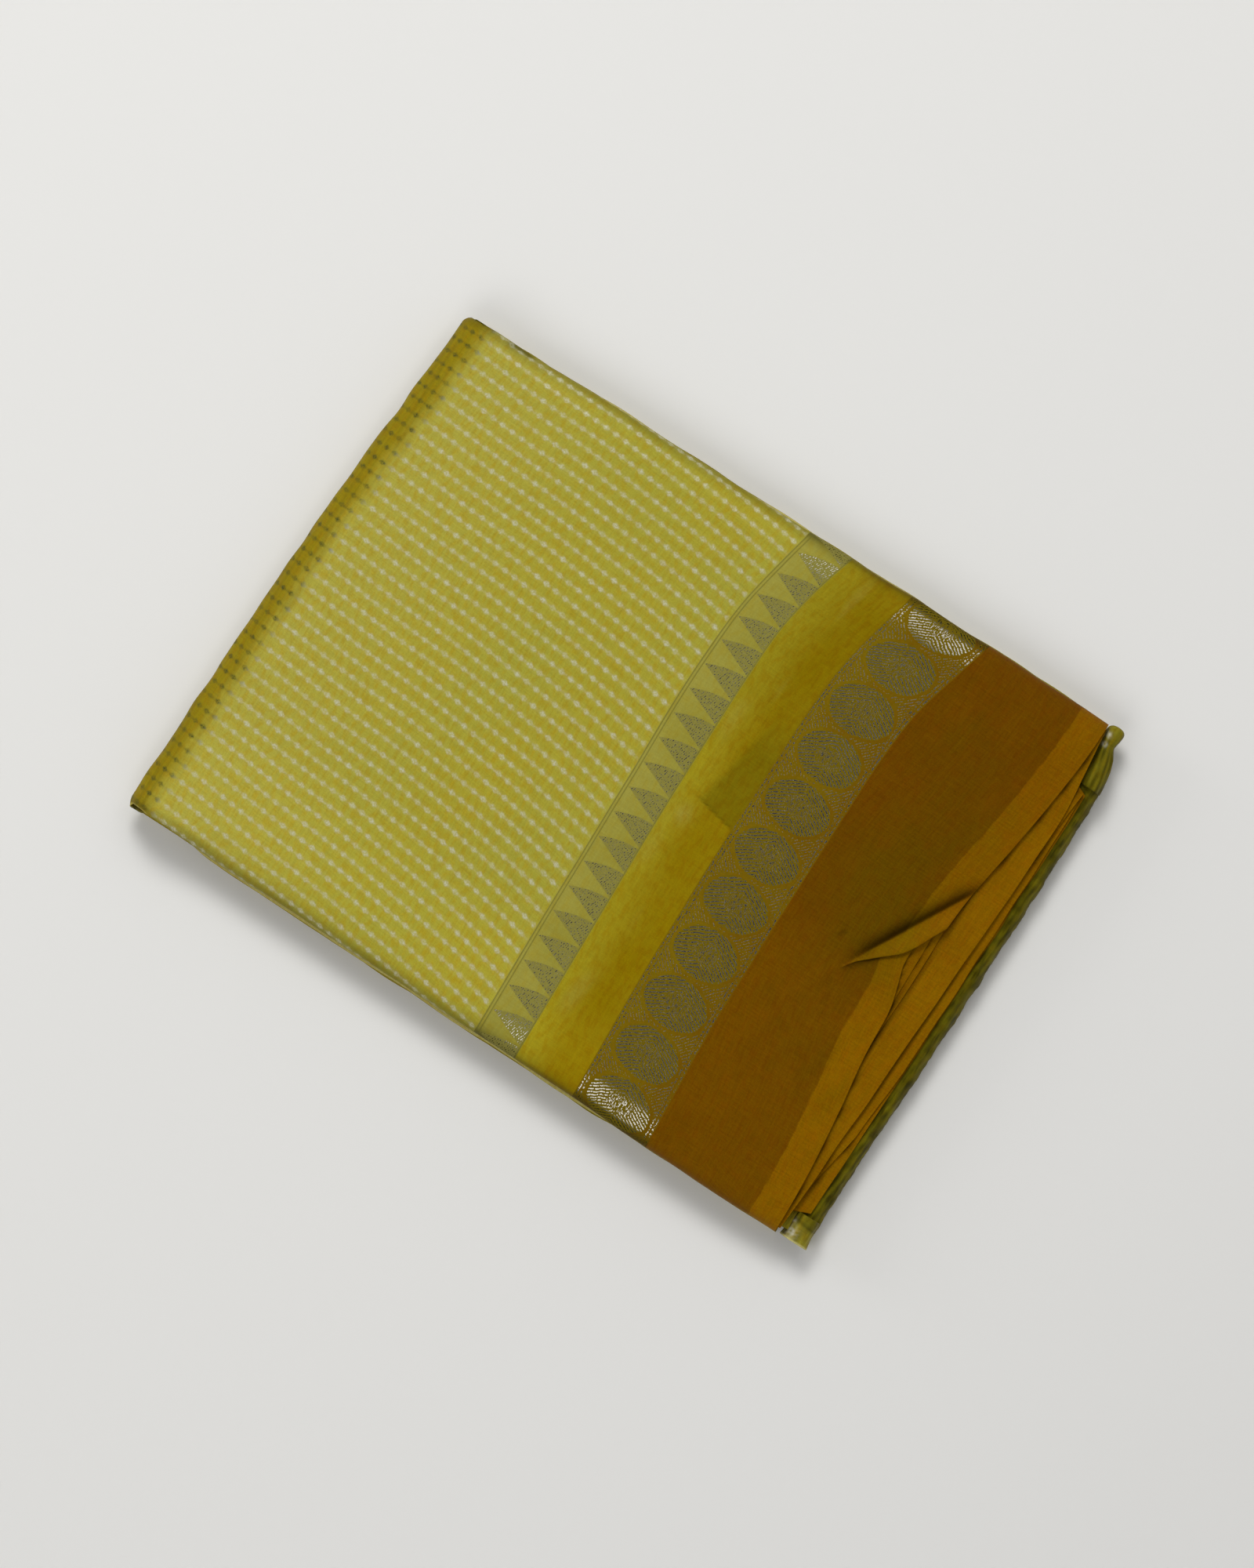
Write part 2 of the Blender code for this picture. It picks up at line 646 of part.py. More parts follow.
def build():
    for obj in list(bpy.data.objects):
        bpy.data.objects.remove(obj)
    collection = bpy.data.collections.new("folded_sari")
    bpy.context.scene.collection.children.link(collection)

    yellow = make_material("yellow silk-cotton", (0.55, 0.47, 0.06), 0.6)
    olive = make_material("yellow silk-cotton, turned", (0.22, 0.19, 0.02), 0.6)
    silver = make_material("silver zari on yellow", (0.30, 0.27, 0.10), 0.45, 0.2)
    gold = make_material("gold silk-cotton", (0.36, 0.24, 0.02), 0.55)
    dark_zari = make_material("silver zari on mustard", (0.17, 0.12, 0.04), 0.45, 0.2)
    mustard = make_material("mustard silk-cotton", (0.17, 0.07, 0.005), 0.6)
    orange = make_material("orange selvedge", (0.27, 0.12, 0.006), 0.6)

    plain_rows = side_rows()
    tuck_rows = side_rows(np.linspace(*TUCK_ROWS_V))
    add_sheet("field_stretch", field_grid(14, 9, plain_rows), yellow)
    add_sheet("temple_band", band_grid("temple", "plain", 2, plain_rows), silver)
    add_sheet("plain_band", band_grid("plain", "medallion", 3, plain_rows), gold)
    add_sheet("medallion_band", band_grid("medallion", "mustard", 4, plain_rows), dark_zari)
    add_sheet("mustard_band", band_grid("mustard", "light", 14, tuck_rows), mustard)
    add_sheet("light_selvedge", band_grid("light", "selvedge", 6, tuck_rows), orange)

    for order, (name, side_inset, drop) in enumerate(LEAF_END_ROWS, start=1):
        add_sheet(f"selvedge_leaf_{order + 1}", leaf_grid(name, order, side_inset, drop, 5), orange)

    add_sheet("right_fold", right_fold_grid(10, 12), olive)
    add_sheet("under_leaf", under_leaf_grid(6, 6), yellow)
    add_loft("fold_end_far", [end_ring(row) for row in FAR_END_ROWS], yellow)
    add_loft("fold_end_near", [end_ring(row) for row in NEAR_END_ROWS], yellow)
    add_loft("inner_layers", [inner_ring(z, inset) for z, inset in inner_side_rows()], yellow)


build()
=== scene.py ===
import functools
import math

import bmesh
import bpy
import numpy as np
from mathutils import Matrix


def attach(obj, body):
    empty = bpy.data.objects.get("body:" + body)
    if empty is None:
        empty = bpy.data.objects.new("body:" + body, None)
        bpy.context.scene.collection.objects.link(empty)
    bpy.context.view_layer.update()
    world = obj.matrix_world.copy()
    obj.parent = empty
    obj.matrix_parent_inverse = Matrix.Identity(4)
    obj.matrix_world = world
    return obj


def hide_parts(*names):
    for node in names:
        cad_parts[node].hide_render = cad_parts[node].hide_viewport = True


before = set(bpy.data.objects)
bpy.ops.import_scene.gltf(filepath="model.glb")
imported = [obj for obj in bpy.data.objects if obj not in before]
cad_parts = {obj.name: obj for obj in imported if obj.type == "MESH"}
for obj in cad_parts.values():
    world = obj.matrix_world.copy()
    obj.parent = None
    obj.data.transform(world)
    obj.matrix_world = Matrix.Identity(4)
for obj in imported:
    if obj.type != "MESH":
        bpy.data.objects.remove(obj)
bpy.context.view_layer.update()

# A folded sari of silk-cotton with silver zari, lying flat. Lengths below are millimetres: x runs from the
# left fold across the bands to the selvedges, y from the near side to the far side, z is up.
mm = 0.001
print("frame:", len(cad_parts), "nodes")

stack = {
    "top": 28,          # outer side of the top leaf
    "middle": 17.4,     # where the top third lies on the middle third
    "lower": 8.7,       # where the middle third lies on the bottom third
    "cloth": 0.45,      # one drawn leaf; the woven cloth is about 0.2
    "thinFrom": 125,    # the stack gets thinner from here to the selvedges
    "thinOver": 62,
    "thinning": 2.5,
}
outline = {
    "x": [-190, -150, -95, -20, 60, 125, 185],
    "near": [-145.4, -146.2, -146.4, -146.6, -147, -148, -147.7],
    "far": [143.6, 143.9, 145.2, 145.7, 146.6, 147.3, 147.1],
    "leftY": [-147, -60, 10, 60, 95, 144],
    "left": [-197.8, -196.8, -195.7, -193.9, -191.6, -189],
    "rightY": [-134, -112, -60, 0, 60, 117],
    "right": [197.4, 196.9, 197.7, 198.1, 197.7, 196.5],
    "waver": 0.28,      # unevenness of the folded sides
}


def ease(t):  # 3t^2 - 2t^3, held at 0 and 1
    t = np.clip(t, 0, 1)
    return t * t * (3 - 2 * t)


def shares(count):  # even steps from 0 to 1
    return np.linspace(0, 1, count)


def bell(*parts):  # 1 in the middle, and exp(-(the parts squared and added)) away from it
    return np.exp(-sum(part**2 for part in parts))


def rounded(distance, radius):  # how far a corner rounded as a circle draws in, at a distance from its side
    return radius - np.sqrt(radius**2 - (radius - np.clip(distance, 0, radius)) ** 2)


def stacked(*parts):  # arrays of any fitting shapes, put side by side as the parts of points
    return np.stack(np.broadcast_arrays(*parts), axis=-1)


def smoothCurve(knots, values, at):  # a cubic through the values, each slope from its two neighbours
    knots, values = np.array(knots, float), np.array(values, float)
    slopes = np.gradient(values, knots)
    at = np.clip(at, knots[0], knots[-1])
    i = np.clip(np.searchsorted(knots, at) - 1, 0, len(knots) - 2)
    span = knots[i + 1] - knots[i]
    t = (at - knots[i]) / span
    start = (1 + 2 * t) * (1 - t) ** 2 * values[i] + t * (1 - t) ** 2 * span * slopes[i]
    return start + t * t * (3 - 2 * t) * values[i + 1] + t * t * (t - 1) * span * slopes[i + 1]


def ripple(seed, wave, *place):  # eight sine waves of about one length, in seeded directions, added over 4
    random = np.random.default_rng(seed)
    total = 0
    for _ in range(8):
        heading = random.normal(size=len(place))
        heading = heading / np.linalg.norm(heading) / (wave * random.uniform(0.7, 1.5))
        turn = sum(part * axis for part, axis in zip(heading, place))
        total = total + np.sin(2 * math.pi * turn + random.uniform(0, 2 * math.pi))
    return total / 4


def nearSide(x):  # y of the near side: its curve and a slow waver
    return smoothCurve(outline["x"], outline["near"], x) + outline["waver"] * ripple(11, 60, x)


def farSide(x):  # the same for the far side
    return smoothCurve(outline["x"], outline["far"], x) + outline["waver"] * ripple(12, 60, x)


def leftSide(y):  # x of the left fold
    return smoothCurve(outline["leftY"], outline["left"], y)


def rightSide(y):  # x of the right fold
    return smoothCurve(outline["rightY"], outline["right"], y)


def fromSides(x, y):  # distance in from the near or the far side, the nearer of them
    return np.minimum(y - nearSide(x), farSide(x) - y)


def colour(text):  # sRGB hex to linear light
    part = np.array([int(text[i:i + 2], 16) for i in (0, 2, 4)]) / 255
    return np.where(part <= 0.04045, part / 12.92, ((part + 0.055) / 1.055) ** 2.4)


def opaque(text):  # the same with an alpha of 1
    return (*colour(text), 1)


def between(first, second, share):  # two grounds mixed in linear light, one share per point
    first = colour(first) if isinstance(first, str) else first
    return first + (colour(second) - first) * np.clip(share, 0, 1)[..., None]


def painted(ground, *coats):
    # The ground with coats laid one after the other: a colour mixed in by a share per point, or, with None,
    # the ground less a share of itself, which a share below 0 makes lighter.
    for tone, share in coats:
        ground = between(ground, tone, share) if tone else ground * (1 - share)[..., None]
    return ground


# Materials

soft = {"interpolation_type": "SMOOTHSTEP"}  # a map from one range to another with eased ends
mixed = {"data_type": "RGBA", "out": 2}      # a mix of two colours


def fill(tree, node, inputs):  # links or values for a node's inputs
    for place, value in inputs.items():
        if isinstance(value, bpy.types.NodeSocket):
            tree.links.new(value, node.inputs[place])
        else:
            node.inputs[place].default_value = value


def addNode(tree, kind, *inputs, out=0, **settings):
    # One node with its settings and its links or values; a second word in kind is the node's operation, and
    # out is the output that it gives back.
    kind, *operation = kind.split()
    node = tree.nodes.new("ShaderNode" + kind)
    if operation:
        node.operation = operation[0]
    for name, value in settings.items():
        setattr(node, name, value)
    fill(tree, node, inputs[0] if inputs and isinstance(inputs[0], dict) else dict(enumerate(inputs)))
    return node.outputs[out]


def cells(add, size, phase, stagger=0):
    # Place inside a repeating cell, in mm from its middle; each row is shifted on by stagger of a cell.
    half = (0.5, 0.5, 0)
    moved = add("VectorMath SUBTRACT", add("UVMap", uv_map="cloth"), (*phase, 0))
    counted = add("VectorMath ADD", add("VectorMath DIVIDE", moved, (*size, 1)), half)
    row = add("Math FLOOR", add("SeparateXYZ", counted, out=1))
    row = add("CombineXYZ", add("Math MULTIPLY", row, stagger), 0, 0)
    part = add("VectorMath FRACTION", add("VectorMath ADD", counted, row))
    return add("VectorMath MULTIPLY", add("VectorMath SUBTRACT", part, half), (*size, 0))


def grain(add, size, detail=1):  # noise on the cloth, with its length in mm along U and V
    scaled = add("VectorMath DIVIDE", add("UVMap", uv_map="cloth"), (*size, 1))
    inputs = {"Vector": scaled, "Scale": 1, "Detail": detail, "Roughness": 0.55}
    return add("TexNoise", inputs, noise_dimensions="2D")


weave = {
    # Silk-cotton, plain woven at about 4 threads a mm. That is too fine to show, so the grain is drawn as
    # uneven threads of about 1 mm; it gives a soft shine with fine streaks along both threads.
    "warp": (1, 15), "weft": (12, 0.9), "fine": (0.9, 0.9),
    "mottle": (2.6, 6),     # patches where the dye took more
    "rough": (0.54, 0.66), "relief": 0.00004,     # metres
}


def wovenCloth(look):
    # The ground colour is the mesh's paint, shaded by the threads. A pattern gives the share of zari and may
    # change the ground; the zari is silver, duller where the cloth turns out of the light.
    material = bpy.data.materials.new("woven silk-cotton, " + look["name"])
    material.use_nodes = True
    tree = material.node_tree
    add = functools.partial(addNode, tree)
    ground = add("Attribute", attribute_name="paint")
    fine = grain(add, weave["fine"])
    threads = add("Math ADD", grain(add, weave["warp"], 2), grain(add, weave["weft"], 2))
    threads = add("Math ADD", threads, fine)
    light = add("MapRange", threads, 1, 2, 1 - look["streak"], 1 + look["streak"])
    mottled = add("MapRange", grain(add, weave["mottle"], 3), 0.42, 0.68, 0, look["mottled"])
    deep = {0: mottled, 6: ground, 7: opaque(look["deep"])}
    ground = add("Mix", deep, blend_type="MULTIPLY", **mixed)
    rough = add("MapRange", fine, 0.3, 0.7, *weave["rough"])
    share, metal = None, 0
    if "pattern" in look:
        share, ground = look["pattern"](add, ground)
    ground = add("VectorMath SCALE", {0: ground, "Scale": light})
    if share is not None:
        wearAndGlint = add("MapRange", fine, 0.32, 0.62, look["wearAndGlint"], 1)
        share = add("Math MULTIPLY", share, wearAndGlint)
        share = add("MapRange", share, *look["floats"], 0, 1)
        turned = add("Attribute", out=2, attribute_name="turned")
        silver = {0: turned, 6: opaque(look["silver"]), 7: opaque(look["dull"])}
        silver = add("Mix", silver, **mixed)
        ground = add("Mix", {0: share, 6: ground, 7: silver}, **mixed)
        metal = add("Math MULTIPLY", share, look["metal"])
        rough = add("Mix", {0: share, 2: rough, 3: look["rough"]}, data_type="FLOAT")
    relief = {"Height": threads, "Distance": weave["relief"] * look.get("relief", 1), "Strength": 1}
    fill(tree, tree.nodes["Principled BSDF"], {
        "Base Color": ground, "Metallic": metal, "Roughness": rough, "Normal": add("Bump", relief),
        "Sheen Weight": 0.03, "Sheen Roughness": 0.4, "Sheen Tint": opaque(look["shine"]),
        "Specular IOR Level": 0.16, "Specular Tint": opaque(look["shine"]),
    })
    return material


dotted = {
    "pitch": (5.86, 7.3), "stagger": 0.5,
    "petals": ((2.3, 1.08, 1), (1.426, 1.5, 1)),    # half the length and width of a clump's two ovals
    "clump": (0.4, 1.3),        # where a clump fades out, in shares of its size
    "thread": (-0.05, 1.25),    # where the thread between the clumps fades out, in mm from its middle
    "pale": (1.1, 2.9),         # and the paler ground along it
    "tone": "b4ad66",
}


def dottedLines(add, ground):
    # Silver lines 7.3 mm apart with a small clump every 5.86 mm, the clumps staggered from row to row.
    place = cells(add, dotted["pitch"], (0, 0), dotted["stagger"])
    petals = [add("VectorMath DIVIDE", place, size) for size in dotted["petals"]]
    clump = add("Math MINIMUM", *(add("VectorMath LENGTH", one, out=1) for one in petals))
    clump = add("MapRange", clump, *dotted["clump"], 1, 0, **soft)
    across = add("Math ABSOLUTE", add("SeparateXYZ", place, out=1))
    thread = add("MapRange", across, *dotted["thread"], 1, 0, **soft)
    broken = add("MapRange", grain(add, (1.6, 3)), 0.3, 0.65, 0.1, 0.5)
    share = add("Math MAXIMUM", clump, add("Math MULTIPLY", thread, broken))
    bare = add("Attribute", out=2, attribute_name="bare")
    share = add("Math MULTIPLY", share, add("Math SUBTRACT", 1, bare))
    share = add("Math MULTIPLY", share, add("MapRange", grain(add, (3.6, 5)), 0.35, 0.65, 0.5, 0.92))
    pale = add("MapRange", across, *dotted["pale"], 1, 0, **soft)
    turned = add("Attribute", out=2, attribute_name="turned")
    pale = add("Math MULTIPLY", pale, add("MapRange", turned, 0, 1, 0.14, 0))
    ground = add("Mix", {0: pale, 6: ground, 7: opaque(dotted["tone"])}, **mixed)
    return share, ground


def hatch(add, place, lean, pitch):
    # Stripes of floating threads, pitch mm apart; lean is how far a stripe moves in V for each mm of U, and
    # the stripes of the two halves of a cell lean against each other.
    along = add("Math ABSOLUTE", add("SeparateXYZ", place))
    across = add("SeparateXYZ", place, out=1)
    turn = add("Math MULTIPLY_ADD", along, lean, across)
    turn = add("Math MULTIPLY_ADD", grain(add, (5, 5)), 1.4, turn)
    turn = add("Math SINE", add("Math MULTIPLY", turn, 2 * math.pi / pitch))
    return add("MapRange", turn, -0.6, 0.7, 0.15, 1)


def lineAt(add, side, middle, edge):  # 1 up to edge's first distance from a line, eased to 0 at its second
    off = add("Math ABSOLUTE", add("Math SUBTRACT", side, middle))
    return add("MapRange", off, *edge, 1, 0, **soft)


temple = {
    "pitch": 14.04, "tip": 8.34, "start": 2.6, "base": 22.9, "above": 4.9, "below": 8.4,
    "under": "867f3d", "line": "6a6529", "lines": (0.5, 2.1, 23.2), "lineEdge": (0.17, 0.47),
}


def templeRow(add, ground):
    # A row of triangles: each starts in a tip on the left, its upper edge bows out and its lower one is
    # straight, and its base lies on the right. Two thin lines run beside the tips, and one past the bases.
    shift = (temple["below"] - temple["above"]) / 2
    place = cells(add, (400, temple["pitch"]), (200, temple["tip"] - shift))
    side = add("SeparateXYZ", add("UVMap", uv_map="cloth"))
    part = add("MapRange", side, temple["start"], temple["base"], 0, 1, clamp=False)
    height = add("Math SUBTRACT", add("SeparateXYZ", place, out=1), shift)
    rest = add("Math SUBTRACT", 1, part)
    bow = add("Math MULTIPLY", rest, rest)
    upper = add("MapRange", bow, 1, 0, 0, temple["above"], clamp=False)
    lower = add("Math MULTIPLY", part, temple["below"])
    room = add("Math MINIMUM", add("Math SUBTRACT", upper, height), add("Math ADD", lower, height))
    triangle = add("MapRange", room, -0.3, 0.35, 0, 1, **soft)
    after = add("MapRange", part, 0.985, 1.015, 1, 0, **soft)
    triangle = add("Math MULTIPLY", triangle, after)
    triangle = add("Math MULTIPLY", triangle, add("Math GREATER_THAN", part, 0))
    dashes = add("MapRange", grain(add, (0.7, 1.2)), 0.4, 0.6, 0.15, 1)
    stripes = add("Math MULTIPLY", hatch(add, place, 3, 3.3), dashes)
    share = add("Math MULTIPLY", triangle, stripes)
    under = add("Math MULTIPLY", triangle, 0.85)
    ground = add("Mix", {0: under, 6: ground, 7: opaque(temple["under"])}, **mixed)
    for middle in temple["lines"]:
        line = add("Math MULTIPLY", lineAt(add, side, middle, temple["lineEdge"]), 0.6)
        ground = add("Mix", {0: line, 6: ground, 7: opaque(temple["line"])}, **mixed)
    return share, ground


medallion = {
    "pitch": 28.03, "middle": (21.5, 2.5), "size": (17.8, 13.1, 1), "under": "6d5e0c",
    "oval": (0.9275, 0.9875), "ring": (1.0125, 1.0725),     # the gold ring's two edges, in shares of its size
    "framed": (17.9, 18.3), "core": (0.225, 0.575), "lines": (18.7, 20.4), "lineEdge": (0.3, 0.7),
}


def medallionRow(add, ground):
    # Oval medallions, one above the other, filled with leaning stripes; a gold line rings each of them, the
    # corners between are striped too, and two thin lines run along both sides.
    place = cells(add, (400, medallion["pitch"]), medallion["middle"])
    reach = add("VectorMath LENGTH", add("VectorMath DIVIDE", place, medallion["size"]), out=1)
    wobble = add("MapRange", grain(add, (9, 9)), 0.3, 0.7, -0.025, 0.025)
    reach = add("Math ADD", reach, wobble)
    oval = add("MapRange", reach, *medallion["oval"], 1, 0, **soft)
    outer = add("Math SUBTRACT", 1, add("MapRange", reach, *medallion["ring"], 1, 0, **soft))
    side = add("Math ABSOLUTE", add("SeparateXYZ", place))
    framed = add("MapRange", side, *medallion["framed"], 1, 0, **soft)
    corners = add("Math MULTIPLY", outer, framed)
    dashes = add("MapRange", grain(add, (0.4, 2.4)), 0.4, 0.62, 0.1, 1)
    core = add("MapRange", reach, *medallion["core"], 1, 0, **soft)
    stripes = add("Mix", {0: core, 2: hatch(add, place, 0.6, 1.7), 3: dashes}, data_type="FLOAT")
    corners = add("Math MULTIPLY", corners, hatch(add, place, -1.1, 2))
    corners = add("Math MULTIPLY", corners, 0.7)
    share = add("Math MAXIMUM", add("Math MULTIPLY", oval, stripes), corners)
    under = add("Math MAXIMUM", oval, add("Math MULTIPLY", corners, 0.8))
    for middle in medallion["lines"]:
        broken = add("MapRange", grain(add, (0.9, 1.1)), 0.4, 0.6, 0.2, 1)
        line = add("Math MULTIPLY", lineAt(add, side, middle, medallion["lineEdge"]), broken)
        share = add("Math MAXIMUM", share, line)
        under = add("Math MAXIMUM", under, line)
    under = add("Math MULTIPLY", under, 0.8)
    ground = add("Mix", {0: under, 6: ground, 7: opaque(medallion["under"])}, **mixed)
    return share, ground


selvedge = {"edge": (15, 16), "lighter": (1.5, 1.62, 1)}


def lightEdge(add, ground):
    # The ground is lighter and more orange in the strip along the selvedge, U being the distance from it,
    # and over the face of the tuck, which hides the strip's edge in its crease.
    side = add("SeparateXYZ", add("UVMap", uv_map="cloth"))
    uneven = add("MapRange", grain(add, (3, 9), 2), 0.3, 0.7, -0.35, 0.35)
    strip = add("MapRange", add("Math ADD", side, uneven), *selvedge["edge"], 1, 0, **soft)
    strip = add("Math MAXIMUM", strip, add("Attribute", out=2, attribute_name="face"))
    lighter = add("VectorMath MULTIPLY", ground, selvedge["lighter"])
    return None, add("Mix", {0: strip, 6: ground, 7: lighter}, **mixed)


# Silver-plated zari has the look of its metal where it floats; the field's is thinner and half cotton.
zari = {
    "silver": "b9b5a8", "dull": "3c3c1c", "metal": 1, "rough": 0.2, "wearAndGlint": 0.4, "floats": (0.5, 0.62),
    "relief": 0.12, "streak": 0.08, "mottled": 0.4,
}
looks = {
    # yellow ground that glints silver along its dotted lines, and shows them dark where it turns down
    "field": {
        "name": "dotted with silver zari", "streak": 0.11, "pattern": dottedLines,
        "silver": "c6c5a6", "dull": "40451f", "metal": 0.25, "rough": 0.5, "wearAndGlint": 0.4, "floats": (0, 1),
        "shine": "d8cc70", "deep": "ffe694", "mottled": 0.6,
    },
    # grey silver triangles that flash white where the cloth rolls over
    "temple": {**zari, "name": "zari temple row", "pattern": templeRow, "shine": "d8cc70", "deep": "ffec9c"},
    # soft plain gold with long uneven threads
    "plain": {"name": "plain gold", "streak": 0.1, "shine": "d8b850", "deep": "f4dc8c", "mottled": 0.6},
    # grey ovals and corners in gold lines, which flash white on the rolls too
    "medallion": {
        **zari, "name": "zari medallions", "pattern": medallionRow,
        "shine": "d8b850", "deep": "ffe0a0", "floats": (0.55, 0.67),
    },
    # mustard warp crossed by an olive weft, which shades from one to the other
    "mustard": {
        "name": "mustard and orange", "streak": 0.17, "pattern": lightEdge,
        "shine": "d89a40", "deep": "ffe2b0", "mottled": 0.5,
    },
    # the folded edges of the hidden leaves, dull yellow with fine streaks
    "layers": {"name": "folded edges", "streak": 0.12, "shine": "d8cc70", "deep": "f0dc94", "mottled": 0.5},
}
materials = {name: wovenCloth(look) for name, look in looks.items()}
print("materials:", len(materials))


# Meshes


def placed(name, data):  # an object with the data, put in the scene
    thing = bpy.data.objects.new(name, data)
    bpy.context.scene.collection.objects.link(thing)
    return thing


def addPiece(name, points, faces, cloth, paint, look, nodes, marks):
    # A mesh from points in mm, with the cloth's own mm as its UV map, its ground colour as paint, and marks:
    # where its zari is turned out of the light, where it is bare of zari, and where the tuck's face is.
    mesh = bpy.data.meshes.new(name)
    mesh.from_pydata((points.reshape(-1, 3) * mm).tolist(), [], faces)
    corners = np.empty(len(mesh.loops), dtype=np.int32)
    mesh.loops.foreach_get("vertex_index", corners)
    flat = cloth.reshape(-1, 2)[corners].astype(np.float32)
    mesh.uv_layers.new(name="cloth").data.foreach_set("uv", flat.ravel())
    ground = np.concatenate([paint.reshape(-1, 3), np.ones((len(mesh.vertices), 1))], axis=1)
    layer = mesh.color_attributes.new("paint", "FLOAT_COLOR", "POINT")
    layer.data.foreach_set("color", ground.astype(np.float32).ravel())
    for mark, values in marks.items():
        layer = mesh.attributes.new(mark, "FLOAT", "POINT")
        layer.data.foreach_set("value", values.astype(np.float32).ravel())
    mesh.shade_smooth()
    mesh.materials.append(materials[look])
    piece = placed(name, mesh)
    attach(piece, "root")
    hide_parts(*nodes)
    return piece


def addSheet(name, leaves, look, slot, nodes, restsOn, thickness=stack["cloth"], **marks):
    # One or more leaves of cloth, each a grid on its outer side with its place on the cloth and its paint,
    # and their walls to the inner side. The flat size is the mean length of the grid's rows and columns.
    first, faces, sizes = 0, [], []
    for grid, _cloth, _paint in leaves:
        index = np.arange(grid[..., 0].size).reshape(grid.shape[:2]) + first
        faces.append(np.stack([index[:-1, :-1], index[:-1, 1:], index[1:, 1:], index[1:, :-1]], axis=-1))
        first += index.size
        length, width = (np.linalg.norm(np.diff(grid, axis=i), axis=-1).sum(axis=i).mean() for i in (0, 1))
        sizes.append((width, length))
    points, cloth, paint = (
        np.concatenate([part.reshape(-1, part.shape[-1]) for part in parts]) for parts in zip(*leaves)
    )
    faces = np.concatenate([part.reshape(-1, 4) for part in faces]).tolist()
    piece = addPiece(name, points, faces, cloth, paint, look, nodes, marks)
    mesh = piece.data
    used = np.empty(len(mesh.loops), dtype=np.int32)
    mesh.loops.foreach_get("edge_index", used)
    mesh.edges.foreach_set("use_edge_sharp", np.bincount(used, minlength=len(mesh.edges)) == 1)
    wall = piece.modifiers.new("wall", "SOLIDIFY")
    wall.thickness = thickness * mm
    wall.offset = -1
    width = sum(size[0] for size in sizes) * mm
    length = sum(size[0] * size[1] for size in sizes) * mm * mm / width
    print(f"{name}: {width * 1000:.0f} x {length * 1000:.0f} mm of cloth, {2 * len(faces)} triangles")


def addTube(name, rings, cloth, paint, look, node, **marks):
    # A closed body through rings of as many points each, with flat ends and its faces outwards.
    index = np.arange(rings[..., 0].size).reshape(rings.shape[:2])
    after = np.roll(index, -1, axis=1)
    faces = np.stack([index[:-1], after[:-1], after[1:], index[1:]], axis=-1).reshape(-1, 4).tolist()
    faces += [index[0, ::-1].tolist(), index[-1].tolist()]
    piece = addPiece(name, rings, faces, cloth, paint, look, [node], marks)
    mesh = bmesh.new()
    mesh.from_mesh(piece.data)
    bmesh.ops.recalc_face_normals(mesh, faces=mesh.faces)
    mesh.to_mesh(piece.data)
    mesh.free()
    print(f"{name}: {2 * len(faces)} triangles")


def clothLength(grid, axis, start, value):
    # Distance along the grid's rows or columns, which is value at the index start.
    step = np.linalg.norm(np.diff(grid, axis=axis), axis=-1)
    zero = np.zeros_like(np.take(step, [0], axis=axis))
    total = np.concatenate([zero, np.cumsum(step, axis=axis)], axis=axis)
    return total - np.take(total, [start], axis=axis) + value


# The top leaf

roll = {
    "depth": (6, 17), "drop": (2.4, 7.2), "endAngle": (25, -60),    # on the left fold, and past it
    "foldWidth": 12, "foldBlend": 45, "power": 2, "tuckDepth": 1.4, "tuckDrop": 1.9, "inner": 14,
}


def rollSizes(x):
    # How far the roll is its full self, and its depth, drop and last angle, eased from the fold's to the full
    calm = ease((x - leftSide(0) - roll["foldWidth"]) / roll["foldBlend"])
    pairs = (roll[name] for name in ("depth", "drop", "endAngle"))
    return calm, *(first + (full - first) * calm for first, full in pairs)


def topLeaf(x, v):
    # y and fall of the top leaf. v is -1 to 1 on its flat part, and its rolls go on to -2 and 2 along a
    # superellipse and a quarter turn below it; past that the cloth turns in under itself.
    calm, depth, drop, endAngle = rollSizes(x)
    size = np.abs(v)
    angle = math.pi / 2 - (np.clip(size, 1, 2) - 1) * (math.pi / 2 - np.radians(endAngle))
    upper, lower = np.clip(angle, 0, math.pi / 2), np.clip(angle, -math.pi / 2, 0)
    inset = depth * (1 - np.cos(upper) ** (2 / roll["power"]))
    inset = np.where(angle < 0, roll["tuckDepth"] * (1 - np.cos(lower)), inset)
    inset = inset + (np.clip(size, 2, None) - 2) * roll["inner"] * calm
    near, far = nearSide(x), farSide(x)
    half = (far - near) / 2
    y = (near + far) / 2 + np.clip(v, -1, 1) * (half - depth) + np.sign(v) * (depth - inset) * (size > 1)
    return y, roll["tuckDrop"] * np.sin(lower) - drop * (1 - np.sin(upper) ** (2 / roll["power"]))


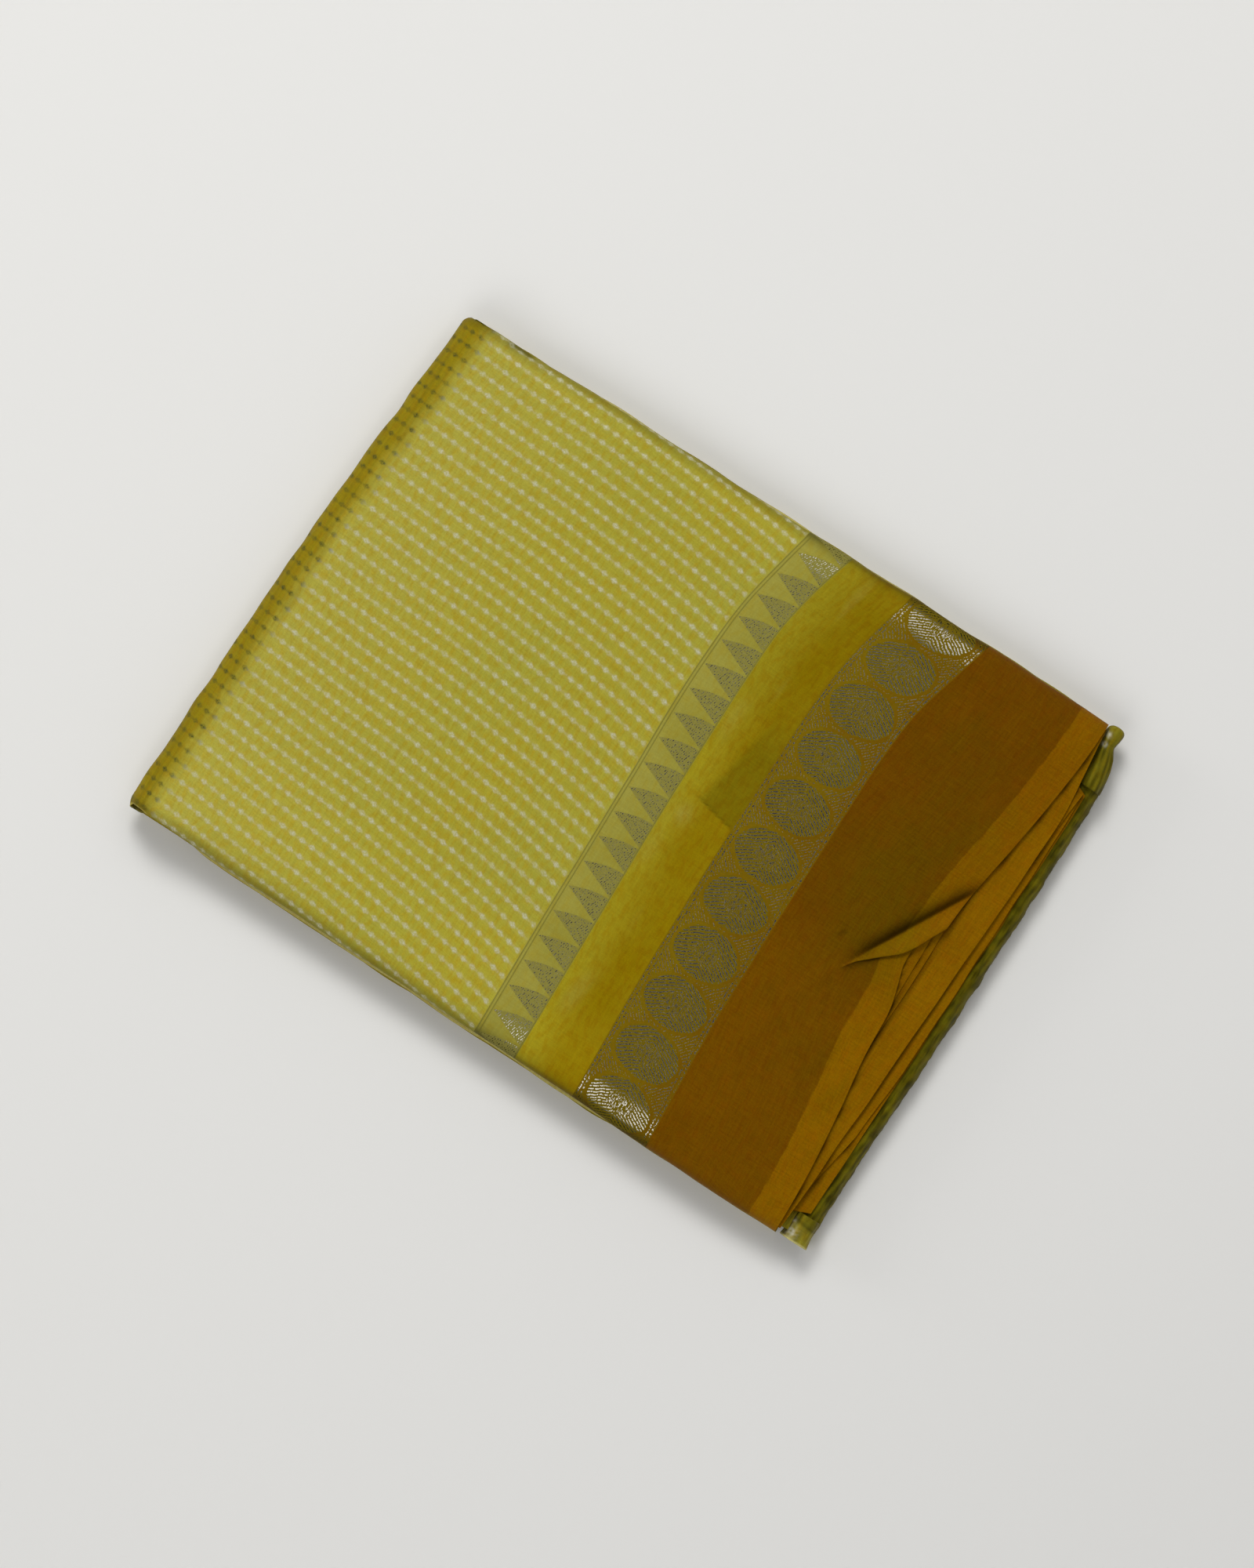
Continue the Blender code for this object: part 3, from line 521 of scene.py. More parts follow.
swells = [  # broad soft swells: x, y, radius along x, radius along y, rise
    (138, 18, 22, 38, 0.7), (132, -92, 30, 34, 0.35), (-60, 40, 80, 60, 0.3), (40, -60, 40, 50, -0.25),
    (-120, -80, 50, 40, -0.2),
]
creases = [  # soft folds: from x, y to x, y, then rise and half width
    (145.2, -59, 152.6, -86, -0.45, 1.3), (156.4, -86, 157.2, -96, -0.6, 0.9),
    (131, -30, 120, -52, 0.3, 3), (134, -27, 139, -58, -0.35, 2.2), (139, -25, 149, -56, 0.3, 2.6),
    (152, -20, 160, -70, -0.25, 2.4), (112, 92, 131, 30, 0.28, 6), (121, 20, 133, -16, -0.3, 4),
    (171, -144.5, 179.5, -139.5, 0.5, 1.3), (108, -128, 160, -132, -0.22, 4),
    (-165, 132, -118, 137.5, 0.45, 3), (-150, 139, -100, 141.5, -0.5, 2),
    (-178, -128, -120, -134, 0.35, 3), (-90, -138, -20, -137, -0.25, 2.5), (-40, 139, 20, 139.5, -0.3, 2.5),
    (30, 104, 50, 118, 0.35, 2.5), (-182, -40, -183.5, 40, -0.25, 2), (60, -140, 100, -139, -0.3, 3),
    (-164, 141.2, -150, 142.8, -1.7, 1.1), (-166, 143.6, -148, 144.4, 0.7, 1),
    (-184, -133, -186, -141, -0.5, 1.6), (-179, -139, -150, -142, 0.45, 1.4),
]


def stroke(x, y, fromX, fromY, toX, toY, width):
    # 1 along a straight line that fades at both ends, falling off to its sides as exp(-(distance / width)^2)
    length = math.hypot(toX - fromX, toY - fromY)
    runX, runY = (toX - fromX) / length, (toY - fromY) / length
    along = ((x - fromX) * runX + (y - fromY) * runY) / length
    across = (x - fromX) * runY - (y - fromY) * runX
    return ease(along / 0.4 + 0.5) * ease((1 - along) / 0.4 + 0.5) * bell(across / width)


def swell(x, y):  # sum of round swells, of creases and of two slow ripples
    rise = 0.16 * ripple(21, 55, x, y) + 0.05 * ripple(22, 16, x, y)
    for middleX, middleY, radiusX, radiusY, height in swells:
        rise = rise + height * bell((x - middleX) / radiusX, (y - middleY) / radiusY)
    for *line, height, width in creases:
        rise = rise + height * stroke(x, y, *line, width)
    return rise


def rollShade(x, y, most, last):
    # Painted shade on the rolls over the near and far sides: the share by which the cloth is painted darker,
    # 0 on the flat, then most over the roll and last on its lower part, both eased and taken one after the
    # other.
    distance = fromSides(x, y)
    return 1 - (1 - most * ease((7.5 - distance) / 6.5)) * (1 - last * ease((3.2 - distance) / 2.6))


def topZ(x, y):  # height of the top leaf: the stack's, less its thinning to the right, with the swells
    return stack["top"] - stack["thinning"] * ease((x - stack["thinFrom"]) / stack["thinOver"]) + swell(x, y)


def leafRows():
    # v from the near turn-in to the far one: about 2 mm apart, 1 mm beside the tuck, close on the rolls
    coarse, fine = np.linspace(-1, 1, 133), np.linspace(-0.26, 0.36, 84)
    flat = np.concatenate([coarse[coarse < fine[0] - 0.005], fine, coarse[coarse > fine[-1] + 0.005]])
    bent = np.concatenate([np.linspace(1, 2, 19)[1:], [2.15, 2.4, 2.7]])
    return np.concatenate([-bent[::-1], flat, bent])


rows = leafRows()
middleRow = int(np.argmin(np.abs(rows)))

bands = {  # x of the woven edges between the bands, at knots along them
    "y": [-147, -117, -80, -44, -16, 5, 20, 43, 70, 99, 126, 147],
    "temple": [4.2, 3, 1.5, 0.5, -0.4, -1, -1.7, -2.5, -2.4, -0.8, 4, 8.4],
    "plain": [28, 26.9, 25.5, 24, 22.9, 22.3, 22, 21.7, 21.5, 22.4, 27.2, 33],
    "medallion": [61.3, 59.5, 57.4, 56.2, 55.4, 55.1, 55, 54.8, 54.8, 56.4, 61.5, 66.9],
    "mustard": [104.8, 102.4, 99.9, 98.9, 98.2, 98, 97.8, 97.6, 97.6, 99.6, 106, 111.5],
    "selvedgeY": [-147, -117, -80, -50, -24, 0, 21, 34, 48, 70, 99, 126, 147],
    "selvedge": [179.8, 178, 173.6, 169.2, 168.1, 168.6, 168.9, 169.6, 171.2, 174.4, 178, 180.3, 180.9],
}


def bandEdge(name, y):  # the curve through one woven edge's knots
    return smoothCurve(bands["selvedgeY" if name == "selvedge" else "y"], bands[name], y)


fold = {
    "inset": [13, 10.3, 7.2, 4, 1.3, 0, 0.7, 3.2, 7.5, 13, 18],
    "z": [28, 27.5, 25.6, 22.9, 20, 16.8, 13.2, 10.6, 9.2, 8.7, 8.7],
    "corner": 4.6,
}


def foldPoint(along):
    # inset and height on the left fold's outer side, from 0 on top to 1 under the middle third
    inset, z = np.array(fold["inset"]), np.array(fold["z"])
    length = np.concatenate([[0], np.cumsum(np.hypot(np.diff(inset), np.diff(z)))])
    at = along * length[-1]
    return smoothCurve(length, inset, at), smoothCurve(length, z, at)


lip = {"wide": 12.5, "parting": 13, "back": 0.5, "out": 1.6, "rise": 0.6, "curl": 4}


def fieldGrid():
    # The field from under the middle third round the left fold and on to the temple band: x goes straight
    # from the fold to the band along each row, and the fold's corners are rounded as circles.
    inset, z = (part[None, :] for part in foldPoint(np.concatenate([np.linspace(1, 0, 41), np.zeros(100)])))
    u, v = np.meshgrid(np.concatenate([np.zeros(41), shares(101)[1:]]), rows)
    turned = (z - stack["lower"]) / (stack["top"] - stack["lower"]) * 2 - 1
    x = leftSide(0) + inset + 0 * u
    for _ in range(3):
        y, fall = topLeaf(x, v)
        start = leftSide(y) + inset + rounded(fromSides(x, y), fold["corner"]) * (1 - inset / inset.max())
        x = start + u * (bandEdge("temple", y) - start)
    bumps = 0.35 * ripple(31, 26, y, z * 3) * np.clip(1 - inset / 12, 0, 1)
    height = z + (topZ(x, y) - stack["top"]) * ease((turned + 1) * 2 - 3) + fall * np.clip(turned, 0, 1)
    # the open mouth of the fold at the near corner: its upper rim is drawn back, its lower one stands out
    mouth = ease((lip["wide"] - (x - leftSide(y))) / 5) * np.clip(-v - 1, 0, 1) ** 2
    upper = ease((z - lip["parting"]) / 5)
    y = y + mouth * (lip["back"] * upper - lip["out"] * (1 - upper))
    height = height + mouth * (lip["rise"] * upper + lip["curl"] * (1 - upper))
    return stacked(x + bumps - 0.6 * mouth * (1 - upper), y, height)


rowBend = [
    # Powers of x and y in units of 100 mm, and their weights in the dot's and the row's number. The weights
    # weren't chosen by hand: a scratch program fitted them to where the dots and rows lie in the photograph.
    (0, 0, 0.444, 3.943), (1, 0, 17.07, 2.472), (0, 1, 0.41, 13.645), (2, 0, -0.092, 0.904),
    (1, 1, -0.058, -0.324), (0, 2, -0.335, -0.025), (0, 3, -0.2, 0.047), (3, 0, -0.041, 0.174),
    (2, 1, -0.039, -0.028), (1, 2, -0.044, -0.01),
]


def rowPlace(x, y):
    # The woven rows bend: the number of the dot along its row and that of the row, each the weighted sum of
    # products of powers of x and y, times the pitch.
    number = 0
    for powerX, powerY, *weights in rowBend:
        number = number + ((x / 100) ** powerX * (y / 100) ** powerY)[..., None] * np.array(weights)
    return number * np.array(dotted["pitch"])


grid = fieldGrid()
x, y, z = np.moveaxis(grid, -1, 0)
u = clothLength(grid, 1, grid.shape[1] - 1, 0)
v = clothLength(grid, 0, middleRow, 0) + y[middleRow, -1]
cloth = rowPlace(u + bandEdge("temple", y[:, -1:]), v)
fromFold = x - leftSide(y) - 2.2 * ease((y - 20) / 110) + 0.7 * ripple(46, 24, x * 0.3, y)
# where the fold turns down its zari is painted dull: painted shade on the silver
turned = ease((18 - fromFold) / 8)
# painted highlights on the rims of the fold's open mouth at the near corner
rim = np.clip(-1.75 - rows, 0, 0.25)[:, None] * 4 * ease((13 - fromFold) / 4)
lowerLip = ease((lip["wide"] - fromFold) / 4) * ease((-1.4 - rows[:, None]) / 0.4) * (z <= lip["parting"])
# painted shade in fine creases along the fold, and in the mouth of a small pocket at the far side
creaseShade = turned * ease(ripple(47, 2.4, x, y * 0.03) * 0.7 + 0.3)
# random tones, lighter to the left, painted light towards the near side, a deeper gold on the fold (near the
# cloth's own gold, a little darker as painted shade where it turns down), painted shade on the rolls, the
# painted highlights on the mouth's rims, and the painted shade in the creases and the pocket
paint = painted(
    "aa9f31", ("a6a039", ripple(41, 70, x, y) * 0.5 + 0.5), ("aea541", ease(-(x + 60) / 130)),
    (None, -0.06 * ease((-70 - y) / 40)), ("8c7b0a", ease((15.6 - fromFold) / 10.5)),
    (None, rollShade(x, y, 0.31, 0.1)), ("b4aa58", rim * (z > 12)), ("c4b95e", 0.8 * lowerLip),
    (None, 0.15 * creaseShade + 0.6 * stroke(x, y, -164, 143.2, -150, 142.6, 0.9)),
)
bare = np.zeros(x.shape)
bare[:, -1] = 1
sides = ["layers_near", "layers_far"]
addSheet(
    "field_cloth", [(grid, cloth, paint)], "field", "field_cloth", ["field_stretch"], sides,
    turned=turned, bare=bare,
)


def bandGrid(start, end, columns):
    # The top leaf between two woven edges: x goes straight from one to the other along each row.
    u = shares(columns + 1) + 0 * rows[:, None]
    x = bandEdge(start, 0) + u * (bandEdge(end, 0) - bandEdge(start, 0))
    for _ in range(3):
        y, fall = topLeaf(x, rows[:, None])
        left, right = bandEdge(start, y), bandEdge(end, y)
        x = left + u * (right - left)
    return stacked(x, y, topZ(x, y) + fall), u


def plainPaint(x, y, share):
    # bright at the left edge and deeper to the right, with an olive shadow of what lies under it
    ghost = ease((x - 32.4 - (y - 10.8) * 0.19) / 5) * ease((y - 7.4 + (x - 33) * 0.2) / 1.6)
    return painted(
        "a0911c", ("8d7502", ease(share * 1.5) * 0.9 + 0.1 * ripple(43, 30, x, y)),
        (None, 0.11 * ease((y - 20) / 60) - 0.12 * ease((-95 - y) / 35)),
        ("645c08", 0.5 * ghost * ease((72 - y) / 34)), (None, 0.3 * stroke(x, y, 33.5, 8.6, 55, 4, 0.5)),
        ("a69a48", 0.4 * bell((x - 31) / 4, (y + 2.5) / 5)),
        ("a0923a", 0.35 * ease(ripple(44, 22, x, y * 0.5) - 0.2) * (share < 0.55)),
        # painted shade on the rolls
        (None, rollShade(x, y, 0.16, 0.35)),
    )


# left and right tone, then the seed and the length of their unevenness
bandTones = {"temple": ("a09842", "989038", 42, 40), "medallion": ("7c660a", "725406", 45, 35)}
for name, end, columns, width, slot in (
    ("temple", "plain", 16, 23.7, "temple_zari"), ("plain", "medallion", 20, 33, "gold_cloth"),
    ("medallion", "mustard", 28, 43, "medallion_zari"),
):
    grid, share = bandGrid(name, end, columns)
    cloth = stacked(share * width, clothLength(grid, 0, middleRow, grid[middleRow, 0, 1]))
    x, y, z = np.moveaxis(grid, -1, 0)
    if name == "plain":
        paint = plainPaint(x, y, share)
    else:
        left, right, *wave = bandTones[name]
        uneven = share + 0.3 * ripple(*wave, x, y)
        # painted shade on the rolls
        paint = painted(left, (right, uneven), (None, rollShade(x, y, 0.4, 0.4)))
    addSheet(
        name + "_cloth", [(grid, cloth, paint)], name, slot, [name + "_band"], sides,
        turned=ease((6.6 - fromSides(x, y)) / 3.6),  # the floats that face the floor are painted dull: painted shade on the silver
    )

# The mustard end, with the tuck folded over itself

tuck = {
    "from": (135.3, -22.9), "to": (169.5, 40),
    "along": [0, 9, 13.7, 18.5, 24, 30, 37, 48, 60, 75],
    "face": [0.6, 1.8, 3.2, 4.6, 6.6, 8.6, 9.1, 8.5, 8.4, 8],
    "valley": 2.6, "valleyWidth": 2.9, "rise": 2.3, "under": 0.37, "turn": 0.45, "innerTurn": 0.3,
    "finest": 0.06,      # the least radius that the grid's columns follow
    "before": 14,        # columns over the valley
    "steps": (7, 5, 6),  # columns over the first turn, the way back and the second turn
    "wall": 0.3,
}
tuckRun = np.subtract(tuck["to"], tuck["from"]) / math.dist(tuck["to"], tuck["from"])


def tuckPlace(x, y):  # distance along the tuck's crease and across it, to the lower right
    dx, dy = x - tuck["from"][0], y - tuck["from"][1]
    return dx * tuckRun[0] + dy * tuckRun[1], dx * tuckRun[1] - dy * tuckRun[0]


def tuckSizes(along, least=0):
    # The cloth distances at which the parts end (face, turn, way back, second turn), the tuck's strength,
    # which is eased in and out along it, both radii and the length of the way back.
    strength = ease((along + 1) / 22) * (1 - ease((along - 66) / 22))
    face = smoothCurve(tuck["along"], tuck["face"], along)
    part = strength * np.clip(face / 4, 0.15, 1)
    turn, innerTurn = np.maximum(tuck["turn"] * part, least), np.maximum(tuck["innerTurn"] * part, least)
    under = np.maximum(tuck["under"] * face * strength * ease((along - 12) / 16), 3 * least)
    ends = [face, face + math.pi * turn]
    ends += [ends[1] + under, ends[1] + under + math.pi * innerTurn]
    return ends, strength, turn, innerTurn, under


def foldTuck(x, y):
    # The flat cloth folded into the tuck: it sinks to the crease, rises over the face, turns under its edge,
    # runs back and turns again; what lies past it is drawn in by the cloth that this takes.
    along, cloth = tuckPlace(x, y)
    ends, strength, turn, innerTurn, under = tuckSizes(along)
    crease = -tuck["valley"] * strength
    edge = tuck["rise"] * strength * np.sqrt(np.clip(ends[0] / 9, 0.05, 1))
    part = np.clip(cloth / ends[0], 0, 1)
    first = np.clip((cloth - ends[0]) / np.maximum(turn, 1e-6), 0, math.pi)
    back = np.clip(cloth - ends[1], 0, under)
    second = np.clip((cloth - ends[2]) / np.maximum(innerTurn, 1e-6), 0, math.pi)
    across = np.minimum(cloth, ends[0]) + turn * np.sin(first) - back
    across = across - innerTurn * np.sin(second) + np.clip(cloth - ends[3], 0, None)
    rise = np.where(
        cloth < 0, crease * np.exp(-np.abs(cloth / tuck["valleyWidth"]) ** 1.4),
        crease + (edge - crease) * (1 - (1 - part) ** 1.6),
    )
    rise = np.where(cloth > ends[0], edge - turn * (1 - np.cos(first)), rise)
    returned = edge - 2 * turn + (2 * innerTurn - edge + 2 * turn) * back / np.maximum(under, 1e-3)
    rise = np.where(cloth > ends[1], returned, rise)
    rise = np.where(cloth > ends[2], innerTurn * (1 + np.cos(second)), rise)
    shift = across - cloth
    return x + shift * tuckRun[1], y - shift * tuckRun[0], rise


def tuckColumns(y):
    # x of the grid's columns that follow the tuck, for each row: they keep to its crease, edge and turns
    y = np.clip(y, -30, 40)
    x = np.full(y.shape, 150.0)
    before = tuck["before"]
    valley = -13 * (1 - shares(before + 1)[:-1]) ** 1.4
    for _ in range(5):
        ends = tuckSizes(tuckPlace(x, y)[0], tuck["finest"])[0]
        stops = [step * ends[0] for step in (0, *np.linspace(0.1, 1, 12))]
        for low, high, count in zip(ends, ends[1:], tuck["steps"]):
            stops += [low + (high - low) * step for step in shares(count + 1)[1:]]
        wanted = np.stack([stop[:, before + i] for i, stop in enumerate(stops)], axis=-1)
        wanted = np.concatenate([valley + 0 * wanted[:, :1], wanted], axis=-1)
        x = tuck["from"][0] + (wanted + (y - tuck["from"][1]) * tuckRun[0]) / tuckRun[1]
    return x


def mustardGrid():
    # The flat end between its two woven edges, with columns that follow the tuck and even steps on both
    # sides of them, then folded into the tuck.
    before, after, followed = 22, 14, tuck["before"] + 13 + sum(tuck["steps"])
    x = np.full((len(rows), followed), 150.0)
    room = 0.06 * np.arange(followed + after, after, -1)
    for _ in range(3):
        y = topLeaf(x, rows[:, None])[0]
        x = np.minimum(tuckColumns(y), bandEdge("selvedge", y) - room)
    start, end = bandEdge("mustard", y[:, :1]), bandEdge("selvedge", y[:, -1:])
    left = start + (x[:, :1] - start) * shares(before + 1)[:-1]
    right = x[:, -1:] + (end - x[:, -1:]) * shares(after + 1)[1:]
    x = np.concatenate([left, x, right], axis=1)
    for _ in range(2):
        y, fall = topLeaf(x, rows[:, None])
        x[:, 0] = bandEdge("mustard", y[:, 0])
        x[:, -1] = bandEdge("selvedge", y[:, -1])
    newX, newY, rise = foldTuck(x, y)
    return stacked(newX, newY, topZ(newX, newY) + fall + rise), x, y


grid, x, y = mustardGrid()
v = np.where(np.abs(rows)[:, None] <= 1, y, clothLength(grid, 0, middleRow, 0))
cloth = stacked(bandEdge("selvedge", y) - x, v)
# the olive weft shows most beside the tuck, and the mustard warp at both sides of it
olive = bell((x - 137) / 30, (y - 22) / 56)
olive = olive + 0.2 * ripple(51, 60, x, y) + 0.16 * ripple(52, 20, x * 1.5, y)
along, across = tuckPlace(x, y)
ends, strength = tuckSizes(along)[:2]
face = ease(across / 0.8) * (across < ends[1]) * np.clip(strength * 3, 0, 1) * (0.3 + 0.65 * ease(along / 34))
# little light gets into the valley beside the tuck, or under the lower end of its edge
valley = (0.22 + 0.16 * ease(along / 30)) * strength * bell((across + 1.1) / 1.7)
valley = valley + (0.28 + 0.12 * ease((along - 15) / 25)) * strength * bell((across + 2.4) / 3.6)
below = strength * bell(np.clip((across - ends[3] - 0.2) / 0.9, 0, None)) * (across > ends[1])
corner = bell(np.clip((across - ends[3]) / 2.6, 0, None)) * (across > ends[1])
corner = corner * ease((along + 3) / 8) * ease((30 - along) / 12)
paint = painted(
    "6a4301", ("724b01", ease(-(y - 10) / 60) + 0.3 * ripple(53, 34, x, y * 0.6)), ("624701", olive),
    # painted shade in the valley, along the foot of the edge and under its lower end; then painted shade
    # along a soft crease and a small nick, and painted light over the last few mm at the near side
    (None, valley * (across < 0.4)), (None, 0.55 * corner), (None, 0.5 * below),
    (None, 0.15 * stroke(x, y, 134.9, -29, 141.4, -50, 1.6)),
    (None, 0.4 * stroke(x, y, 126.6, -9.8, 128.8, -6.4, 0.9)), (None, -0.09 * ease((-137 - y) / 6)),
)
addSheet(
    "mustard_cloth", [(grid, cloth, paint)], "mustard", "mustard_cloth", ["mustard_band", "light_selvedge"],
    ["selvedge_leaves_2", *sides], tuck["wall"], face=face,
)
topEdge = (grid[np.abs(rows) < 1.9, -1, 1], grid[np.abs(rows) < 1.9, -1, 0])

# The lower leaves at the selvedges

leaves = {
    "from": 128, "fall": 3.6, "fallOver": 34, "pitch": 1.4, "start": 142, "under": 0.46, "wall": 0.42,
    # how far the selvedges of leaves 2 to 5 lie past x = 180, at knots in y
    "past": 180,
    "y": [-147, -134.9, -131, -113, -88, -69, -50, 0, 49, 88, 101, 112, 116.4, 137, 147],
    "2": [1.2, 1.5, 1.6, 2.1, 2.8, 3.3, 3.7, 4.9, 6.3, 6.8, 6.5, 5.3, 4.6, 2, 1],
    "3": [0.6, 0.6, 0.8, 1, 1.5, 2, 2.5, 3.5, 4.5, 7.2, 7.9, 9, 0.8, 0.6, 0.4],
    "4": [0.6, 0.6, 1, 3.4, 7.7, 8.5, 9.8, 10.1, 10, 9.8, 9.4, 9.2, 0.8, 0.6, 0.4],
    "5": [0.6, 0.6, 9.8, 10, 10.2, 10.3, 10.5, 10.7, 10.8, 10.8, 10.6, 10.3, 0.8, 0.6, 0.4],
    "inset": {"2": 3, "3": 4.6, "4": 6.2, "5": 7.8},
    "drop": {"2": 2, "3": 1, "4": 0.4, "5": 0},
    "shadow": 0.62,
}


def leafEdge(name, y):  # x of a lower leaf's selvedge: straight from knot to knot
    return np.interp(y, leaves["y"], leaves["past"] + np.array(leaves[name]))


def leafGrid(name, under):
    # A lower leaf from inside the stack to its selvedge, lower at the near and far sides; under counts
    # the leaves that lie close below it, each drawn back a little more.
    order, inset = int(name) - 1, leaves["inset"][name]
    near, far = nearSide(160) + inset + 0.3 * under, farSide(160) - inset - 0.3 * under
    y = np.unique(np.clip(np.concatenate([leaves["y"], np.linspace(near, far, 110)]), near, far))
    u, y = np.meshgrid(shares(15), y)
    edge = leafEdge(name, y) + 0.22 * ripple(60 + order * 4 + under, 45, y)
    edge = edge - under * (0.45 + 0.25 * ripple(90 + under, 60, y))
    x = leaves["start"] + u * (edge - leaves["start"])
    inward = np.clip(np.minimum(y - near, far - y) / (roll["depth"][1] - inset), 0, 1)
    rise = (1 - (1 - inward) ** roll["power"]) ** (1 / roll["power"])
    fall = leaves["fall"] * ease((x - leaves["from"]) / leaves["fallOver"]) + leaves["under"] * under
    z = stack["top"] - leaves["pitch"] * order - fall - leaves["drop"][name] * (1 - rise)
    return stacked(x, y, z + 0.12 * ripple(70 + order, 50, x, y) * u), stacked(edge - x, y)


def leafPaint(grid, seed, *above):
    # dyed unevenly, with painted shade in the narrow gap under the edge of each leaf that lies above it
    x, y = grid[..., 0], grid[..., 1]
    gaps = [bell((x - np.interp(y, knots, edges) - 0.1) / 0.8) for knots, edges in above]
    dyed = ("744e02", 0.5 + 0.5 * ripple(seed, 50, x, y))
    return painted("6d4701", dyed, *((None, leaves["shadow"] * gap) for gap in gaps))


peeks = {  # two leaves that show where the tuck draws the top leaf in: y and x of their edges, and depth
    "upper": ([-70, -37, -18, -6, 12, 26], [166.2, 167.6, 166.5, 166.1, 165.3, 164], 0.95),
    "lower": ([-70, -48, -16, 18, 34], [167.4, 168.7, 169.5, 168.7, 167.6], 1.85),
}
above = [topEdge, peeks["lower"][:2]]
for name in "2345":
    made = [leafGrid(name, under) for under in range(2)]
    addSheet(
        "selvedge_leaves_" + name,
        [(grid, cloth, leafPaint(grid, 80 + int(name), *above)) for grid, cloth in made],
        "mustard", "orange_selvedge", ["selvedge_leaf_" + name], sides, leaves["wall"],
    )
    above = [(leaves["y"], leaves["past"] + np.array(leaves[name]))]

above = [topEdge]
for name, (knots, edges, depth) in peeks.items():
    u, y = np.meshgrid(shares(10), np.linspace(knots[0], knots[-1], 60))
    edge = smoothCurve(knots, edges, y)
    inner = np.clip(154.5 + 0.55 * y, 150, 160)
    x = inner + u * (edge - inner)
    inward = ease((y - knots[0]) / 12) * ease((knots[-1] - y) / 8)
    # it stays below the tuck's crease too
    z = topZ(x, y) - 0.7 * u - depth - 1.2 * (1 - inward) - 1.9 * ease((4 - tuckPlace(x, y)[1]) / 3)
    grid = stacked(x, y, z)
    addSheet(
        "selvedge_leaf_" + name, [(grid, stacked(edge - x, y), leafPaint(grid, 88, *above))],
        "mustard", "orange_selvedge", ["selvedge_leaf_2"], ["selvedge_leaves_2"],
    )
    above = [topEdge, (knots, edges)]

# The right fold and its two ends

rightRoll = {
    "radius": 8.7, "near": -133.7, "far": 116.7, "flap": 181.5,
    "sink": 0.25,           # how far the tube's outer side is flattened
    "bulges": (0.4, 0.25),  # heights of the slow and the quick bulges
}


def rightFoldGrid():
    # Half a tube from the flap under the selvedges round to the surface, with bulges that run round it.
    turn = np.concatenate([np.zeros(6), np.linspace(0, math.pi, 33), np.full(4, math.pi)])
    flat = np.concatenate([np.linspace(1, 0.12, 6), np.zeros(33), np.linspace(0.15, 1, 4)])
    turn, y = np.meshgrid(turn, np.linspace(rightRoll["near"], rightRoll["far"], 190))
    centre = rightSide(y) - rightRoll["radius"]
    slow, quick = rightRoll["bulges"]
    bulge = slow * ripple(101, 14, y, turn * 5) + quick * ripple(102, 5, y, turn * 7)
    radius = rightRoll["radius"] + bulge * np.sin(turn) ** 0.5 - rightRoll["sink"] * np.sin(turn)
    x = centre + radius * np.sin(turn) + flat * (rightRoll["flap"] - centre)
    return stacked(x, y, np.maximum(rightRoll["radius"] + radius * np.cos(turn), 0))


grid = rightFoldGrid()
x, y, z = np.moveaxis(grid, -1, 0)
u = clothLength(grid, 1, 0, -200)
# The roll is the field's yellow cloth painted dark olive as painted shade, with its zari painted dull all
# over; its lengthwise strands are lighter and darker as painted light and shade on its small folds, and a
# line of painted shade lies in the gap under leaf 5's edge.
strands = 0.5 + 0.45 * ripple(103, 3.4, y * 0.13, u) + 0.3 * ripple(104, 2.2, y * 0.3, u)
gap = bell(x - leafEdge("5", y) - 0.3) * (z > rightRoll["radius"])
paint = painted("3c3702", ("766d0c", strands), (None, 0.1 * gap))
addSheet(
    "right_roll", [(grid, stacked(u, y), paint)], "field", "turned_cloth", ["right_fold"],
    ["under_leaf_cloth"], turned=np.ones(x.shape), bare=np.full(x.shape, 0.85),
)

rollEnds = {
    "far": {
        "y": [116, 118.5, 124, 129, 133.5, 137, 138.8, 140.5, 143.5, 146.5, 148.2, 148.8],
        "x": [190, 189.8, 189.3, 188.6, 187.6, 186.5, 186.1, 186, 185.9, 186, 186.1, 186.2],
        "z": [10.6, 10.8, 11, 11.4, 12, 12.8, 13.2, 13.6, 14.2, 14.6, 15, 15.2],
        "wide": [6.3, 6.4, 6.2, 5.9, 5.3, 4.4, 3.8, 4, 4.5, 4.3, 3, 1],
        "tall": [10.6, 10.7, 10.5, 10, 9, 7.4, 6.6, 6.4, 5.9, 4.8, 3, 1],
        "glints": [(183.4, 143, 1.5), (184.3, 138.3, 1.2)], "rings": 60, "seed": 111, "tone": "857b1c",
    },
    "near": {
        "y": [-133, -135, -138, -141.3, -144, -146.2, -147.4, -147.2, -145.6, -143.4],
        "x": [189.9, 190, 190, 190.1, 190.2, 190.3, 190.4, 190.4, 190.4, 190.4],
        "z": [10.7, 10.9, 10.8, 10.3, 9.6, 9.2, 9, 9, 9.2, 9.6],
        "wide": [7, 7.1, 7, 6.9, 7.1, 7.5, 7.7, 7, 5.6, 4.2],
        "tall": [10.4, 10.7, 10.6, 10.1, 9.4, 9, 9.1, 8.4, 6.8, 5.2],
        "glints": [(186.6, -143.6, 2.6), (184.2, -138, 1.4)], "rings": 44, "seed": 121, "tone": "a79c30",
    },
}


pleating = {
    "points": 72,       # round each oval
    "deep": 0.045,      # in shares of the oval's size
    "square": 0.87,     # the power of its cosine and sine; below 1 it has fuller corners
    "least": 0.25,      # z of its lowest points
}


